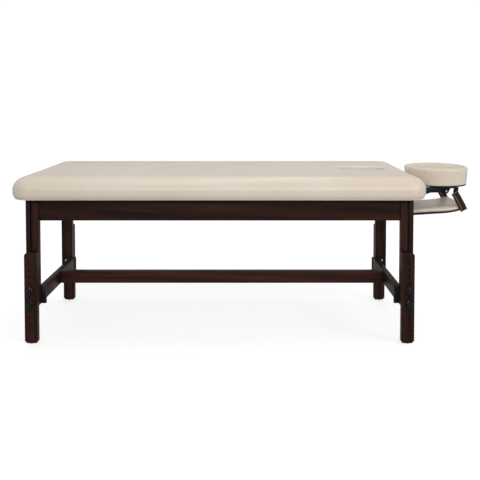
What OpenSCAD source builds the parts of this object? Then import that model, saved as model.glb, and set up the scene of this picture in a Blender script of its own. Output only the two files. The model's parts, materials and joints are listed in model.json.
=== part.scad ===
// Stationary massage table with a padded top, height-set legs, a face cradle and an arm shelf.
// Millimetres, +Z up, head end at +X. The origin is on the floor under the middle of the whole object.

/* [Top] */
// Length of the padded top
pad_l = 1854; // [1700:5:2000]
// Width of the padded top
pad_w = 762; // [700:2:840]
// Height of the top's crown over the floor
pad_top = 764; // [740:2:820]
// Depth of the padded top at its edge
pad_t = 100; // [80:1:110]
// How far the rounded upper edge reaches in
roll_w = 72; // [40:1:90]
// How far the rounded upper edge reaches down
roll_h = 58; // [35:1:62]
// Radius of the lower edge
lower_r = 15; // [8:1:20]
// Corner radius of the top in plan
corner_r = 92; // [70:1:120]
// Thickness of the vinyl cover
cover_t = 2; // [1:0.1:3]
// Thickness of the plywood deck
deck_t = 12; // [9:1:18]
// Length of the face hole
hole_l = 240; // [200:2:280]
// Width of the face hole
hole_w = 120; // [90:2:150]
// Distance of the face hole's centre from the head end
hole_from_end = 237; // [180:1:260]

/* [Legs] */
// Length over the legs
legs_l = 1758; // [1600:2:1800]
// How far the leg extensions stand in from the top's sides
legs_in = 75; // [50:1:100]
// Width of each leg board
leg_w = 57; // [50:1:70]
// Thickness of each leg board
leg_t = 28; // [26:1:32]
// Height of the upper leg's lower end
leg_low = 166; // [140:1:175]
// Height of the extension's upper end
ext_top = 414; // [390:1:440]
// Diameter of the height holes
set_hole_d = 8.6; // [8.2:0.1:10]
// Pitch of the height holes
set_pitch = 30.5; // [26:0.5:32]
// Number of height holes
set_count = 11; // [9:1:11]
// Height of the lowest height hole
set_first = 59; // [50:1:70]
// How far the holes stand outward of the board's middle
set_off = 5.5; // [3:0.5:7]
// Diameter of the clamp bolts
bolt_d = 8; // [6:0.5:8]
// Diameter of the hand knobs
knob_d = 32; // [26:1:36]
// Depth of the hand knobs
knob_t = 22; // [18:1:28]
// Thickness of the foot glides
glide_t = 3; // [2:0.5:5]

/* [Frame] */
// Height of the apron boards
apron_h = 111; // [90:1:125]
// Thickness of the apron boards
apron_t = 24; // [18:1:26]
// Height of the cross braces and the stretcher
brace_h = 60; // [50:1:70]
// Thickness of the cross braces and the stretcher
brace_t = 28; // [24:1:32]
// Height of the braces' lower edge over the upper leg's end
brace_up = 20; // [8:1:30]

/* [Face cradle] */
// Length of the crescent pad
crescent_l = 290; // [270:1:310]
// Width of the crescent pad
crescent_w = 300; // [280:1:320]
// Width of the crescent's ring
ring_w = 88; // [70:1:100]
// Height of the crescent pad
ring_t = 84; // [60:1:90]
// Gap between the crescent's two ends
crescent_gap = 64; // [50:1:80]
// Gap between the top and the crescent pad
head_gap = 5; // [4:1:20]
// Depth of the cradle arms
arm_h = 26; // [22:1:30]
// Distance of the cradle arms from the middle
arm_y = 116; // [100:1:125]
// Distance of the pivot from the head end of the top
pivot_x = 149; // [140:1:160]
// Diameter of the cradle's posts
post_d = 16; // [14:1:18]
// How far the cradle pulls out
cradle_travel = 120; // [80:1:120]

/* [Arm shelf] */
// Length of the arm shelf
shelf_l = 275; // [240:1:280]
// Width of the arm shelf
shelf_w = 254; // [230:1:260]
// Thickness of the shelf's board
shelf_board_t = 7; // [6:0.5:12]
// Thickness of the shelf's pad
shelf_pad_t = 17; // [8:0.5:18]
// How far the shelf's inner end hangs below the frame's top
shelf_drop = 116.5; // [100:0.5:130]
// Width of the strap webbing
strap_w = 36; // [24:1:40]

/* [Hidden] */
$fn = 48;
// one overrun for all cuts, one clearance for soft pieces, one for shafts, one for sliding faces
over = 1;
soft_gap = 0.3;
run_gap = 0.08;
slide_gap = 0.1;
hull_fn = 32;

// the cradle starts outside the top's end, and outside the legs where they reach further
pad_end = pad_l / 2;
leg_clear = 40;
head_end = max(pad_end, legs_l / 2 + leg_clear);
crescent_far = head_end + head_gap + crescent_l;

// where the object stands: half of the length that the cradle adds at the head end
shift_x = -(crescent_far - pad_end) / 2;
frame_top = pad_top - pad_t;

// padded top
crown_h = 3;
side_draw = 2.5;
deck_room = 3;
deck_inset = lower_r + cover_t + deck_room;
min_corner_r = 2;
hole_x = pad_end - hole_from_end;

// legs
leg_x = legs_l / 2 - leg_w / 2;
ext_y = pad_w / 2 - legs_in;
upper_y = ext_y - leg_t;
inner_y = upper_y - leg_t;
set_x = leg_x + set_off;
bolt_steps = [4, 6];
bolt_zs = [for (n = bolt_steps) set_first + n * set_pitch];
leg_chamfer = 10;
slot_w = bolt_d + 1;
slot_neck = 10;
under_w = 20;
under_t = 8;
head_w = 18;
head_t = 6.5;
slot_low = bolt_zs[0] - head_w / 2 - soft_gap;
washer_d = 24;
washer_t = 2;
knob_bore_t = 16;
bolt_end_gap = 2;
lobe_count = 6;
lobe_share = 0.3125;
lobe_low_share = 0.25;
hub_share = 0.6;
hub_rise = 2.2;
lobe_d = knob_d * lobe_share;
glide_d = 24;
nail_d = 5;
nail_l = 16;

// frame
apron_low = frame_top - apron_h;
rail_in = 4;
rail_x = legs_l / 2 - rail_in;
block_l = 75;
block_w = 40;
block_h = 98;
block_drop = 2;
arris = 3;
frame_bolt_d = 8;
frame_bolt_head_d = 16;
frame_bolt_head_t = 3;
leg_bolt_in = 12;
leg_bolt_x = legs_l / 2 - leg_w + leg_bolt_in;
leg_bolt_grip = 18;
bolt_row_shares = [0.3, 0.72];
rib_t = 20;
rib_h = 60;
rib_x_shares = [-0.45, 0, 0.45];
screw_d = 5;
screw_head_d = 10;
screw_head_t = 3;
screw_l = 45;

// braces
brace_z = leg_low + brace_up;
brace_gap = 18;
brace_in = legs_l / 2 - leg_w - brace_gap;
joint_shares = [0.27, 0.73];
shoe_wall = 3;
shoe_l = 14;
shoe_back = 4;
shoe_low = leg_low;
flange_over = 40;
shoe_screw_shares = [0.3, 0.78];
shoe_screw_d = 5;
shoe_screw_l = 9;
shoe_head_d = 9;
shoe_head_t = 2.5;
nut_d = 14;
nut_l = 22;
joint_bolt_l = 60;

// cradle
ear_t = 6;
arm_t = 6;
fric_t = 2;
pivot_at = [head_end + pivot_x, frame_top];
pivot_pin_d = 6;
rivet_head_d = 12;
rivet_head_t = 3;
fric_d = 16;
lobe_r = 12;
plate_t = 5;
plate_rise = 19;
plate_low = pivot_at[1] + plate_rise;
plate_inset = 20;
hook_t = 1.5;
hook_l = 76;
hook_w = 24;
arm_under = 8;
arm_low = pivot_at[1] - arm_under;
arm_high = arm_low + arm_h;
arm_gap = 9;
arm_start = head_end + arm_gap;
drop_w = 34;
flare_w = 36;
flare_h = 12;
post_drop = 30;
post_z = frame_top - post_drop;
post_kept = 46;
post_in = cradle_travel + post_kept;
sleeve_wall = 2;
sleeve_flange_d = 32;
sleeve_flange_t = 2;
sleeve_l = 170;
socket_l = 40;
socket_w = 40;
socket_h = 54;
cross_d = 14;
ear_outer = arm_y - arm_t / 2 + arm_t + fric_t + ear_t;
tip_back = 16;
ring_l = crescent_l + tip_back;
crescent_x = crescent_far - ring_l / 2;
ring_ax = ring_l / 2 - ring_w / 2;
ring_ay = crescent_w / 2 - ring_w / 2;
strut_out = 44;
strut_drop = 14;
strut_low = [pivot_at[0] + strut_out, pivot_at[1] - strut_drop];
strut_r = 10;
bracket_in = 5;
bracket_l = 54;
bracket_t = 5;
lobe_web_l = 16;
strut_web_l = 22;

// arm shelf
shelf_under = 32;
shelf_x = head_end - shelf_under;
shelf_z = frame_top - shelf_drop;
shelf_slope = 0.0612;
shelf_bend_share = 0.6;
shelf_bend_r = 370;
shelf_steps = 16;
strap_t = 2;
strap_end = 12;
strap_past = 9.6;
snap_d = 12;
snap_t = 3;
snap_pin_d = 4;
snap_hole_d = 5;
inner_strap_w = 26;
inner_strap_x = shelf_x + inner_strap_w / 2;
band_foot = 14;

espresso = [0.16, 0.10, 0.08];
mahogany = [0.24, 0.13, 0.10];
birch = [0.72, 0.58, 0.40];
cream = [0.84, 0.79, 0.73];
blacked = [0.07, 0.07, 0.08];
zinc = [0.66, 0.67, 0.68];
webbing = [0.30, 0.12, 0.10];

// helpers
module place() { translate([shift_x, 0, 0]) children(); }
module both_ends() { for (s = [-1, 1]) scale_x(s) children(); }
module both_sides() { for (s = [-1, 1]) scale_y(s) children(); }
module scale_x(s) { if (s < 0) mirror([1, 0, 0]) children(); else children(); }
module scale_y(s) { if (s < 0) mirror([0, 1, 0]) children(); else children(); }
module box(lo, hi) { translate(lo) cube(hi - lo); }
module along_y(x, y, z, d, l) { translate([x, y, z]) rotate([-90, 0, 0]) cylinder(d = d, h = l); }
module along_x(x, y, z, d, l) { translate([x, y, z]) rotate([0, 90, 0]) cylinder(d = d, h = l); }

// a closed skin through rings of equal numbers of points, all of them triangles
module ring_skin(rings) {
    n = len(rings[0]);
    m = len(rings);
    ends = [for (r = [rings[0], rings[m - 1]]) [for (k = [0:2]) sum([for (p = r) p[k]]) / n]];
    points = concat([for (r = rings) for (p = r) p], ends);
    walls = [for (j = [0:m - 2]) for (i = [0:n - 1]) let (a = j * n + i, b = j * n + (i + 1) % n)
        each [[a, a + n, b], [b, a + n, b + n]]];
    caps = [for (i = [0:n - 1]) let (b = (i + 1) % n, t = (m - 1) * n)
        each [[m * n, i, b], [m * n + 1, t + b, t + i]]];
    polyhedron(points, concat(walls, caps));
}
function sum(v) = [for (i = 0, t = v[0]; i < len(v); i = i + 1, t = t + (i < len(v) ? v[i] : 0)) t]
    [len(v) - 1];

// plan outline of the top, inset by d, with its sides drawn in a little between the corners
corner_steps = 5;
long_steps = 4;
short_steps = 2;
function top_outline(d, z) = let (r = max(corner_r - d, min_corner_r), ax = pad_l / 2 - d - r,
        ay = pad_w / 2 - d - r)
    [for (q = [0:3])
        let (cx = (q == 0 || q == 3 ? 1 : -1) * ax, cy = (q < 2 ? 1 : -1) * ay,
            straight = (q % 2 == 0) ? long_steps : short_steps)
        each concat(
            [for (i = [0:corner_steps]) let (a = 90 * (q + i / corner_steps))
                [cx + r * cos(a), cy + r * sin(a), z]],
            [for (i = [1:straight - 1])
                let (t = i / straight, a = 90 * (q + 1), in = side_draw * sin(180 * t))
                q % 2 == 0
                    ? [cx * (1 - 2 * t), (cy + r * sin(a)) * (1 - in / (pad_w / 2)), z]
                    : [(cx + r * cos(a)) * (1 - in / (pad_l / 2)), cy * (1 - 2 * t), z]])];

// edge profile of the top as [inset, height], inset by the thickness t of what lies outside it
roll_shares = [0, 0.18, 0.36, 0.54, 0.72, 0.88, 1];
crown_shares = [0.3, 0.7];
function top_profile(t) = concat(
    [for (i = [0:2]) let (a = 45 * i) [t + lower_r * (1 - sin(a)), frame_top + lower_r * (1 - cos(a))]],
    [for (s = roll_shares) let (a = 90 * s)
        [t + roll_w * (1 - cos(a)), pad_top - crown_h - t - roll_h * (1 - sin(a))]],
    [for (s = crown_shares) [t + roll_w + s * (pad_w / 2 - roll_w - corner_r / 2),
        pad_top - t - crown_h * pow(1 - s, 2)]]);
module top_form(t, low) {
    rings = [for (p = top_profile(t)) top_outline(p[0], p[1])];
    first = top_outline(top_profile(t)[0][0], low);
    ring_skin(low < frame_top ? concat([first], rings) : rings);
}
module stadium(l, w, lo, hi) {
    translate([hole_x, 0, lo]) linear_extrude(hi - lo) {
        square([l - w, w], center = true);
        for (s = [-1, 1]) translate([s * (l - w) / 2, 0]) circle(d = w);
    }
}
module face_hole(grow) { stadium(hole_l + 2 * grow, hole_w + 2 * grow, frame_top - over, pad_top + over); }

module top_cover() color(cream) place() difference() {
    top_form(0, frame_top);
    difference() {
        top_form(cover_t, frame_top - over);
        face_hole(cover_t);
    }
    face_hole(0);
}
module foam_core() color("khaki") place() difference() {
    top_form(cover_t + soft_gap, frame_top);
    box([-pad_l, -pad_w, 0], [pad_l, pad_w, frame_top + deck_t + soft_gap]);
    face_hole(cover_t + soft_gap);
}
module deck() color(birch) place() difference() {
    translate([0, 0, frame_top]) linear_extrude(deck_t) rounded_plan(deck_inset);
    face_hole(cover_t + soft_gap);
    for (p = deck_screw_places()) {
        translate([p[0], p[1], frame_top - over]) cylinder(d = screw_d, h = deck_t + 2 * over);
        translate([p[0], p[1], frame_top + deck_t - screw_head_t])
            cylinder(d = screw_head_d, h = screw_head_t + over);
    }
}
module rounded_plan(d) {
    l = pad_l - 2 * d;
    w = pad_w - 2 * d;
    r = corner_r - d;
    square([l - 2 * r, w], center = true);
    square([l, w - 2 * r], center = true);
    for (x = [-1, 1], y = [-1, 1]) translate([x * (l / 2 - r), y * (w / 2 - r)]) circle(r = r);
}
screw_x_shares = [-0.82, -0.5, 0.2, 0.82];
rail_screw_share = 0.25;
function deck_screw_places() = concat(
    [for (s = screw_x_shares) for (y = [-1, 1]) [s * (legs_l / 2 - leg_w), y * (inner_y + apron_t / 2)]],
    [for (x = [-1, 1]) for (y = [-1, 1]) [x * (rail_x - apron_t / 2), y * inner_y * rail_screw_share]]);
module deck_screws() color(zinc) place() for (p = deck_screw_places()) translate([p[0], p[1], 0]) {
    translate([0, 0, frame_top + deck_t - screw_head_t]) cylinder(d = screw_head_d, h = screw_head_t);
    translate([0, 0, frame_top + deck_t - screw_l]) cylinder(d = screw_d, h = screw_l);
}
module deck_screw_holes() for (p = deck_screw_places())
    translate([p[0], p[1], frame_top + deck_t - screw_l]) cylinder(d = screw_d, h = screw_l);

module deck_ribs() color(birch) place() for (s = rib_x_shares)
    translate([s * (legs_l / 2), 0, 0])
        box([-rib_t / 2, -inner_y, frame_top - rib_h], [rib_t / 2, inner_y, frame_top]);

// aprons and rails, with a small arris along the lower outer edge
module apron_board() difference() {
    end_x = legs_l / 2 - leg_w;
    rotate([90, 0, 90]) translate([0, 0, -end_x]) linear_extrude(2 * end_x) polygon([
        [-inner_y, apron_low], [-inner_y, frame_top], [-inner_y - apron_t, frame_top],
        [-inner_y - apron_t, apron_low + arris], [-inner_y - apron_t + arris, apron_low]]);
    deck_screw_holes();
    both_ends() for (s = bolt_row_shares)
        along_y(apron_bolt_x, -inner_y - leg_bolt_grip, apron_low + s * apron_h, frame_bolt_d,
            leg_bolt_grip + over);
}
module front_apron() color(espresso) place() apron_board();
module rear_apron() color(espresso) place() mirror([0, 1, 0]) apron_board();
module rail_board() difference() {
    box([rail_x - apron_t, -inner_y, apron_low], [rail_x, inner_y, frame_top]);
    deck_screw_holes();
    both_sides() along_x(rail_x - apron_t - over, rail_bolt_y, apron_low + apron_h / 2, frame_bolt_d,
        leg_bolt_grip + over);
}
module head_rail() color(espresso) place() difference() {
    rail_board();
    both_sides() along_x(rail_x - apron_t - over, arm_y, post_z, sleeve_d, apron_t + 2 * over);
}
module foot_rail() color(espresso) place() mirror([1, 0, 0]) rail_board();

// corner blocks and their bolts, driven from inside
apron_bolt_in = 24;
apron_bolt_x = legs_l / 2 - leg_w - apron_bolt_in;
rail_bolt_y = inner_y - block_w / 2;
block_x = rail_x - apron_t;
module corner_block() difference() {
    box([block_x - block_l, inner_y - block_w, frame_top - block_h - block_drop],
        [block_x, inner_y, frame_top - block_drop]);
    for (x = [leg_bolt_x, apron_bolt_x], s = bolt_row_shares)
        along_y(x, inner_y - block_w - over, apron_low + s * apron_h, frame_bolt_d, block_w + 2 * over);
    along_x(block_x - block_l - over, rail_bolt_y, apron_low + apron_h / 2, frame_bolt_d, block_l + 2 * over);
}
module corner_blocks() color(birch) place() both_ends() both_sides() corner_block();
module frame_bolts() color(zinc) place() both_ends() both_sides() {
    for (x = [leg_bolt_x, apron_bolt_x], s = bolt_row_shares) {
        z = apron_low + s * apron_h;
        along_y(x, inner_y - block_w, z, frame_bolt_d, block_w + leg_bolt_grip);
        along_y(x, inner_y - block_w - frame_bolt_head_t, z, frame_bolt_head_d, frame_bolt_head_t);
    }
    z = apron_low + apron_h / 2;
    along_x(block_x - block_l, rail_bolt_y, z, frame_bolt_d, block_l + leg_bolt_grip);
    along_x(block_x - block_l - frame_bolt_head_t, rail_bolt_y, z, frame_bolt_head_d, frame_bolt_head_t);
}

// upper leg at the head end, rear side, with its T slot in the outer face
module upper_leg() difference() {
    box([leg_x - leg_w / 2, inner_y, leg_low], [leg_x + leg_w / 2, upper_y, frame_top]);
    box([set_x - slot_w / 2, upper_y - slot_neck, slot_low],
        [set_x + slot_w / 2, upper_y + over, frame_top + over]);
    box([set_x - under_w / 2, upper_y - slot_neck - under_t, slot_low],
        [set_x + under_w / 2, upper_y - slot_neck, frame_top + over]);
    for (s = bolt_row_shares)
        along_y(leg_bolt_x, inner_y - over, apron_low + s * apron_h, frame_bolt_d, leg_bolt_grip + over);
    for (z = shoe_screw_zs())
        along_y(set_x, inner_y - over, z, shoe_screw_d, shoe_screw_l + over - shoe_back);
}
module upper_leg_front_foot() color(espresso) place() mirror([1, 0, 0]) mirror([0, 1, 0]) upper_leg();
module upper_leg_front_head() color(espresso) place() mirror([0, 1, 0]) upper_leg();
module upper_leg_rear_foot() color(espresso) place() mirror([1, 0, 0]) upper_leg();
module upper_leg_rear_head() color(espresso) place() upper_leg();

// leg extension: outer corners bevelled, eleven holes, glide nail hole
module extension() difference() {
    c = leg_chamfer;
    w = leg_w / 2;
    translate([leg_x, ext_y, 0]) rotate([90, 0, 0]) linear_extrude(leg_t) polygon([
        [-w + c / 2, glide_t], [-w, glide_t + c / 2], [-w, ext_top], [w - c, ext_top], [w, ext_top - c],
        [w, glide_t + c], [w - c, glide_t]]);
    for (n = [0:set_count - 1])
        along_y(set_x, upper_y - over, set_first + n * set_pitch, set_hole_d, leg_t + 2 * over);
    translate([leg_x, ext_y - leg_t / 2, glide_t - over]) cylinder(d = nail_d, h = nail_l + over);
}
module extension_front_foot() color(espresso) place() mirror([1, 0, 0]) mirror([0, 1, 0]) extension();
module extension_front_head() color(espresso) place() mirror([0, 1, 0]) extension();
module extension_rear_foot() color(espresso) place() mirror([1, 0, 0]) extension();
module extension_rear_head() color(espresso) place() extension();

// two clamp bolts with square heads in the T slot, each with its washer
module clamp_bolts() for (z = bolt_zs) {
    shoulder = upper_y - slot_neck - slide_gap;
    box([set_x - head_w / 2, shoulder - head_t, z - head_w / 2],
        [set_x + head_w / 2, shoulder, z + head_w / 2]);
    along_y(set_x, shoulder, z, bolt_d, ext_y + washer_t + knob_bore_t - bolt_end_gap - shoulder);
    difference() {
        along_y(set_x, ext_y, z, washer_d, washer_t);
        along_y(set_x, ext_y - over, z, set_hole_d, washer_t + 2 * over);
    }
}
module bolts_front_foot() color(zinc) place() mirror([1, 0, 0]) mirror([0, 1, 0]) clamp_bolts();
module bolts_front_head() color(zinc) place() mirror([0, 1, 0]) clamp_bolts();
module bolts_rear_foot() color(zinc) place() mirror([1, 0, 0]) clamp_bolts();
module bolts_rear_head() color(zinc) place() clamp_bolts();

// lobed hand knob with a blind bore over the bolt's end
module knob(i) translate([set_x, ext_y + washer_t + slide_gap, bolt_zs[i]]) rotate([-90, 0, 0]) difference() {
    union() {
        cylinder(d = knob_d - lobe_d, h = knob_t);
        cylinder(d = knob_d * hub_share, h = knob_t + hub_rise);
        for (k = [0:lobe_count - 1]) rotate(k * 360 / lobe_count)
            translate([(knob_d - lobe_d) / 2, 0, knob_t * lobe_low_share])
                cylinder(d = lobe_d, h = knob_t * (1 - lobe_low_share));
    }
    translate([0, 0, -over]) cylinder(d = bolt_d + 2 * run_gap, h = knob_bore_t + over);
}
module knob_front_foot_low() color(blacked) place() mirror([1, 0, 0]) mirror([0, 1, 0]) knob(0);
module knob_front_foot_high() color(blacked) place() mirror([1, 0, 0]) mirror([0, 1, 0]) knob(1);
module knob_front_head_low() color(blacked) place() mirror([0, 1, 0]) knob(0);
module knob_front_head_high() color(blacked) place() mirror([0, 1, 0]) knob(1);
module knob_rear_foot_low() color(blacked) place() mirror([1, 0, 0]) knob(0);
module knob_rear_foot_high() color(blacked) place() mirror([1, 0, 0]) knob(1);
module knob_rear_head_low() color(blacked) place() knob(0);
module knob_rear_head_high() color(blacked) place() knob(1);

module glide() translate([leg_x, ext_y - leg_t / 2, 0]) {
    cylinder(d = glide_d, h = glide_t);
    cylinder(d = nail_d, h = glide_t + nail_l);
}
module glide_front_foot() color(blacked) place() mirror([1, 0, 0]) mirror([0, 1, 0]) glide();
module glide_front_head() color(blacked) place() mirror([0, 1, 0]) glide();
module glide_rear_foot() color(blacked) place() mirror([1, 0, 0]) glide();
module glide_rear_head() color(blacked) place() glide();

// cross braces in steel shoes, and the long stretcher bolted between them
joint_zs = [for (s = joint_shares) brace_z + s * brace_h];
module brace() difference() {
    box([brace_in, -inner_y + shoe_back, brace_z],
        [brace_in + brace_t, inner_y - shoe_back, brace_z + brace_h]);
    for (z = joint_zs) along_x(brace_in - over, 0, z, frame_bolt_d, brace_t + 2 * over);
}
module head_brace() color(espresso) place() brace();
module foot_brace() color(espresso) place() mirror([1, 0, 0]) brace();
module long_stretcher() color(mahogany) place() difference() {
    box([-brace_in, -brace_t / 2, brace_z], [brace_in, brace_t / 2, brace_z + brace_h]);
    both_ends() for (z = joint_zs) {
        along_x(brace_in + brace_t - joint_bolt_l, 0, z, frame_bolt_d, joint_bolt_l);
        along_y(nut_x, -nut_l / 2, z, nut_d, brace_t);
    }
}
nut_x = brace_in + brace_t - joint_bolt_l + nut_d / 2;
module stretcher_bolts() color(zinc) place() both_ends() for (z = joint_zs) {
    along_x(nut_x + nut_d / 2, 0, z, frame_bolt_d, brace_in + brace_t - nut_x - nut_d / 2);
    along_x(brace_in + brace_t, 0, z, frame_bolt_head_d, frame_bolt_head_t);
}
module barrel_nuts() color(zinc) place() both_ends() for (z = joint_zs)
    along_y(nut_x, -nut_l / 2, z, nut_d, nut_l);

function shoe_screw_zs() = [for (s = shoe_screw_shares) shoe_low + s * (brace_z + brace_h - shoe_low)];
module shoe() difference() {
    union() {
        box([brace_in - shoe_wall, inner_y - shoe_l, shoe_low],
            [brace_in + brace_t + shoe_wall, inner_y, brace_z + brace_h]);
        box([brace_in - shoe_wall, inner_y - shoe_back, shoe_low],
            [brace_in + brace_t + flange_over, inner_y, brace_z + brace_h]);
    }
    box([brace_in, inner_y - shoe_l - over, brace_z],
        [brace_in + brace_t, inner_y - shoe_back, brace_z + brace_h + over]);
    for (z = shoe_screw_zs())
        along_y(set_x, inner_y - shoe_back - over, z, shoe_screw_d, shoe_back + 2 * over);
}
module brace_shoes() color(blacked) place() both_ends() both_sides() shoe();
module shoe_screws() color(zinc) place() both_ends() both_sides() for (z = shoe_screw_zs()) {
    along_y(set_x, inner_y - shoe_back, z, shoe_screw_d, shoe_screw_l);
    along_y(set_x, inner_y - shoe_back - shoe_head_t, z, shoe_head_d, shoe_head_t);
}

// face cradle: sleeves in the head rail and in blocks under the deck
sleeve_d = post_d + 2 * run_gap + 2 * sleeve_wall;
module cradle_sleeves() color(zinc) place() both_sides() difference() {
    union() {
        along_x(rail_x - sleeve_l, arm_y, post_z, sleeve_d, sleeve_l);
        along_x(rail_x, arm_y, post_z, sleeve_flange_d, sleeve_flange_t);
    }
    along_x(rail_x - sleeve_l - over, arm_y, post_z, post_d + 2 * run_gap,
        sleeve_l + sleeve_flange_t + 2 * over);
}
module socket_blocks() color(birch) place() both_sides() difference() {
    box([rail_x - sleeve_l, arm_y - socket_w / 2, frame_top - socket_h],
        [rail_x - sleeve_l + socket_l, arm_y + socket_w / 2, frame_top]);
    along_x(rail_x - sleeve_l - over, arm_y, post_z, sleeve_d, socket_l + 2 * over);
}

// arm plate that drops to its post, flares and runs out to the pivot
module cradle_arm() {
    difference() {
        translate([0, arm_y + arm_t / 2, 0]) rotate([90, 0, 0]) linear_extrude(arm_t) union() {
            polygon([[arm_start, post_z - post_d / 2], [arm_start + drop_w, post_z - post_d / 2],
                [arm_start + drop_w, arm_low - flare_h], [arm_start + drop_w + flare_w, arm_low],
                [pivot_at[0], arm_low], [pivot_at[0], arm_high], [arm_start, arm_high]]);
            translate([pivot_at[0], arm_low + arm_h / 2]) circle(d = arm_h);
        }
        along_y(pivot_at[0], arm_y - arm_t / 2 - over, pivot_at[1], pivot_pin_d, arm_t + 2 * over);
    }
    along_x(rail_x - post_in, arm_y, post_z, post_d, arm_start + drop_w / 2 - rail_x + post_in);
}
module cradle_arm_near() color(blacked) place() mirror([0, 1, 0]) cradle_arm();
module cradle_arm_far() color(blacked) place() cradle_arm();
module cradle_cross_bar() color(blacked) place()
    along_y(arm_start + drop_w / 2, -arm_y + arm_t / 2, arm_low, cross_d, 2 * arm_y - arm_t);

// rivets fixed in the arms, on which the tilt brackets turn
module pivot_rivets() color(zinc) place() both_sides() {
    along_y(pivot_at[0], arm_y - arm_t / 2, pivot_at[1], pivot_pin_d, ear_outer - arm_y + arm_t / 2);
    along_y(pivot_at[0], arm_y - arm_t / 2 - rivet_head_t, pivot_at[1], rivet_head_d, rivet_head_t);
    along_y(pivot_at[0], ear_outer + slide_gap, pivot_at[1], rivet_head_d, rivet_head_t);
    along_y(pivot_at[0], ear_outer, pivot_at[1], pivot_pin_d, slide_gap);
}
module friction_washers() color(zinc) place() both_sides() difference() {
    along_y(pivot_at[0], arm_y + arm_t / 2, pivot_at[1], fric_d, fric_t - slide_gap);
    along_y(pivot_at[0], arm_y + arm_t / 2 - over, pivot_at[1], pivot_pin_d + 2 * run_gap, fric_t + 2 * over);
}
module tilt_bracket() difference() {
    translate([0, ear_outer, 0]) rotate([90, 0, 0]) linear_extrude(ear_t) {
        hull() {
            translate(pivot_at) circle(r = lobe_r, $fn = hull_fn);
            translate([pivot_at[0] + bracket_in, plate_low - bracket_t]) square([lobe_web_l, bracket_t]);
        }
        hull() {
            translate(strut_low) circle(r = strut_r, $fn = hull_fn);
            translate([pivot_at[0] + bracket_in + bracket_l - strut_web_l, plate_low - bracket_t])
                square([strut_web_l, bracket_t]);
        }
        translate([pivot_at[0] + bracket_in, plate_low - bracket_t]) square([bracket_l, bracket_t]);
    }
    along_y(pivot_at[0], ear_outer - ear_t - over, pivot_at[1], pivot_pin_d + 2 * run_gap, ear_t + 2 * over);
    along_y(strut_low[0], ear_outer - ear_t - over, strut_low[1], snap_pin_d, ear_t + 2 * over);
}
module tilt_bracket_near() color(blacked) place() mirror([0, 1, 0]) tilt_bracket();
module tilt_bracket_far() color(blacked) place() tilt_bracket();

// plate under the crescent, in the crescent's own plan
module cradle_plate() color(blacked) place() translate([0, 0, plate_low])
    linear_extrude(plate_t) crescent_plan(plate_inset);
module crescent_plan(inset) difference() {
    translate([crescent_x, 0]) circle(d = crescent_l - 2 * inset);
    translate([crescent_x, 0]) circle(d = crescent_l - 2 * ring_w + 2 * inset);
    translate([crescent_x - crescent_l, -crescent_gap / 2 - inset])
        square([crescent_l, crescent_gap + 2 * inset]);
}
module hook_loop_strips() color("dimgray") place() translate([0, 0, plate_low + plate_t]) for (s = [-1, 1])
    translate([crescent_x, s * ring_ay, 0])
        box([-hook_l / 2, -hook_w / 2, 0], [hook_l / 2, hook_w / 2, hook_t]);

// crescent pad: a rounded section swept round the ring, its ends rounded off
section_steps = 16;
sweep_steps = 26;
tip_shares = [0, 0.35, 0.7, 0.92];
tip_run_share = 0.42;
tip_flat_share = 0.35;
tip_blunt_share = 0.07;
section_power = 0.45;
function section(k, a) = let (c = cos(a), s = sin(a),
        w = (ring_w / 2) * k * sign(c) * pow(abs(c), section_power),
        h = (ring_t / 2) * (tip_flat_share + (1 - tip_flat_share) * k) * sign(s) * pow(abs(s), section_power))
        [w, h];
function tip_size(s) = sqrt(1 - pow(1 - s, 2) * (1 - tip_blunt_share));
function sweep_places() = let (t = 180 - tip_angle, tip = ring_w * tip_run_share / ring_ay * 180 / PI)
    concat([for (s = tip_shares) [t - tip * s, tip_size(s)]],
        [for (i = [0:sweep_steps]) [(t - tip) * (1 - 2 * i / sweep_steps), 1]],
        [for (j = [0:3]) let (s = tip_shares[3 - j]) [-(t - tip * s), tip_size(s)]]);
tip_angle = asin((crescent_gap / 2) / ring_ay);
module face_cushion() color(cream) place() {
    mid_z = plate_low + plate_t + hook_t + soft_gap + ring_t / 2;
    rings = [for (p = sweep_places()) [for (i = [0:section_steps - 1])
        let (q = section(p[1], 360 * i / section_steps), a = p[0])
        [crescent_x + (ring_ax + q[0]) * cos(a), (ring_ay + q[0]) * sin(a), mid_z + q[1]]]];
    ring_skin(rings);
}

// arm shelf: a board that curves up at its outer end, with a thin pad on it
shelf_bend_x = shelf_x + shelf_bend_share * shelf_l;
function shelf_at(x) = shelf_z + shelf_slope * (x - shelf_x)
    + (x > shelf_bend_x ? pow(x - shelf_bend_x, 2) / (2 * shelf_bend_r) : 0);
function shelf_xs() = [for (i = [0:shelf_steps]) shelf_x + shelf_l * i / shelf_steps];
module arm_shelf_board() color(espresso) place() difference() {
    translate([0, shelf_w / 2, 0]) rotate([90, 0, 0]) linear_extrude(shelf_w) polygon(concat(
        [for (x = shelf_xs()) [x, shelf_at(x)]],
        [for (i = [0:shelf_steps]) let (x = shelf_x + shelf_l * (1 - i / shelf_steps))
            [x, shelf_at(x) + shelf_board_t]]));
    for (p = lower_snap_places()) both_sides()
        along_y(p[0], shelf_w / 2 - snap_t, p[1], snap_pin_d, snap_t + over);
}
pad_section = 12;
pad_end_t_share = 0.72;
pad_end_w_share = 0.97;
pad_side_power = 0.4;
pad_top_power = 0.5;
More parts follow.
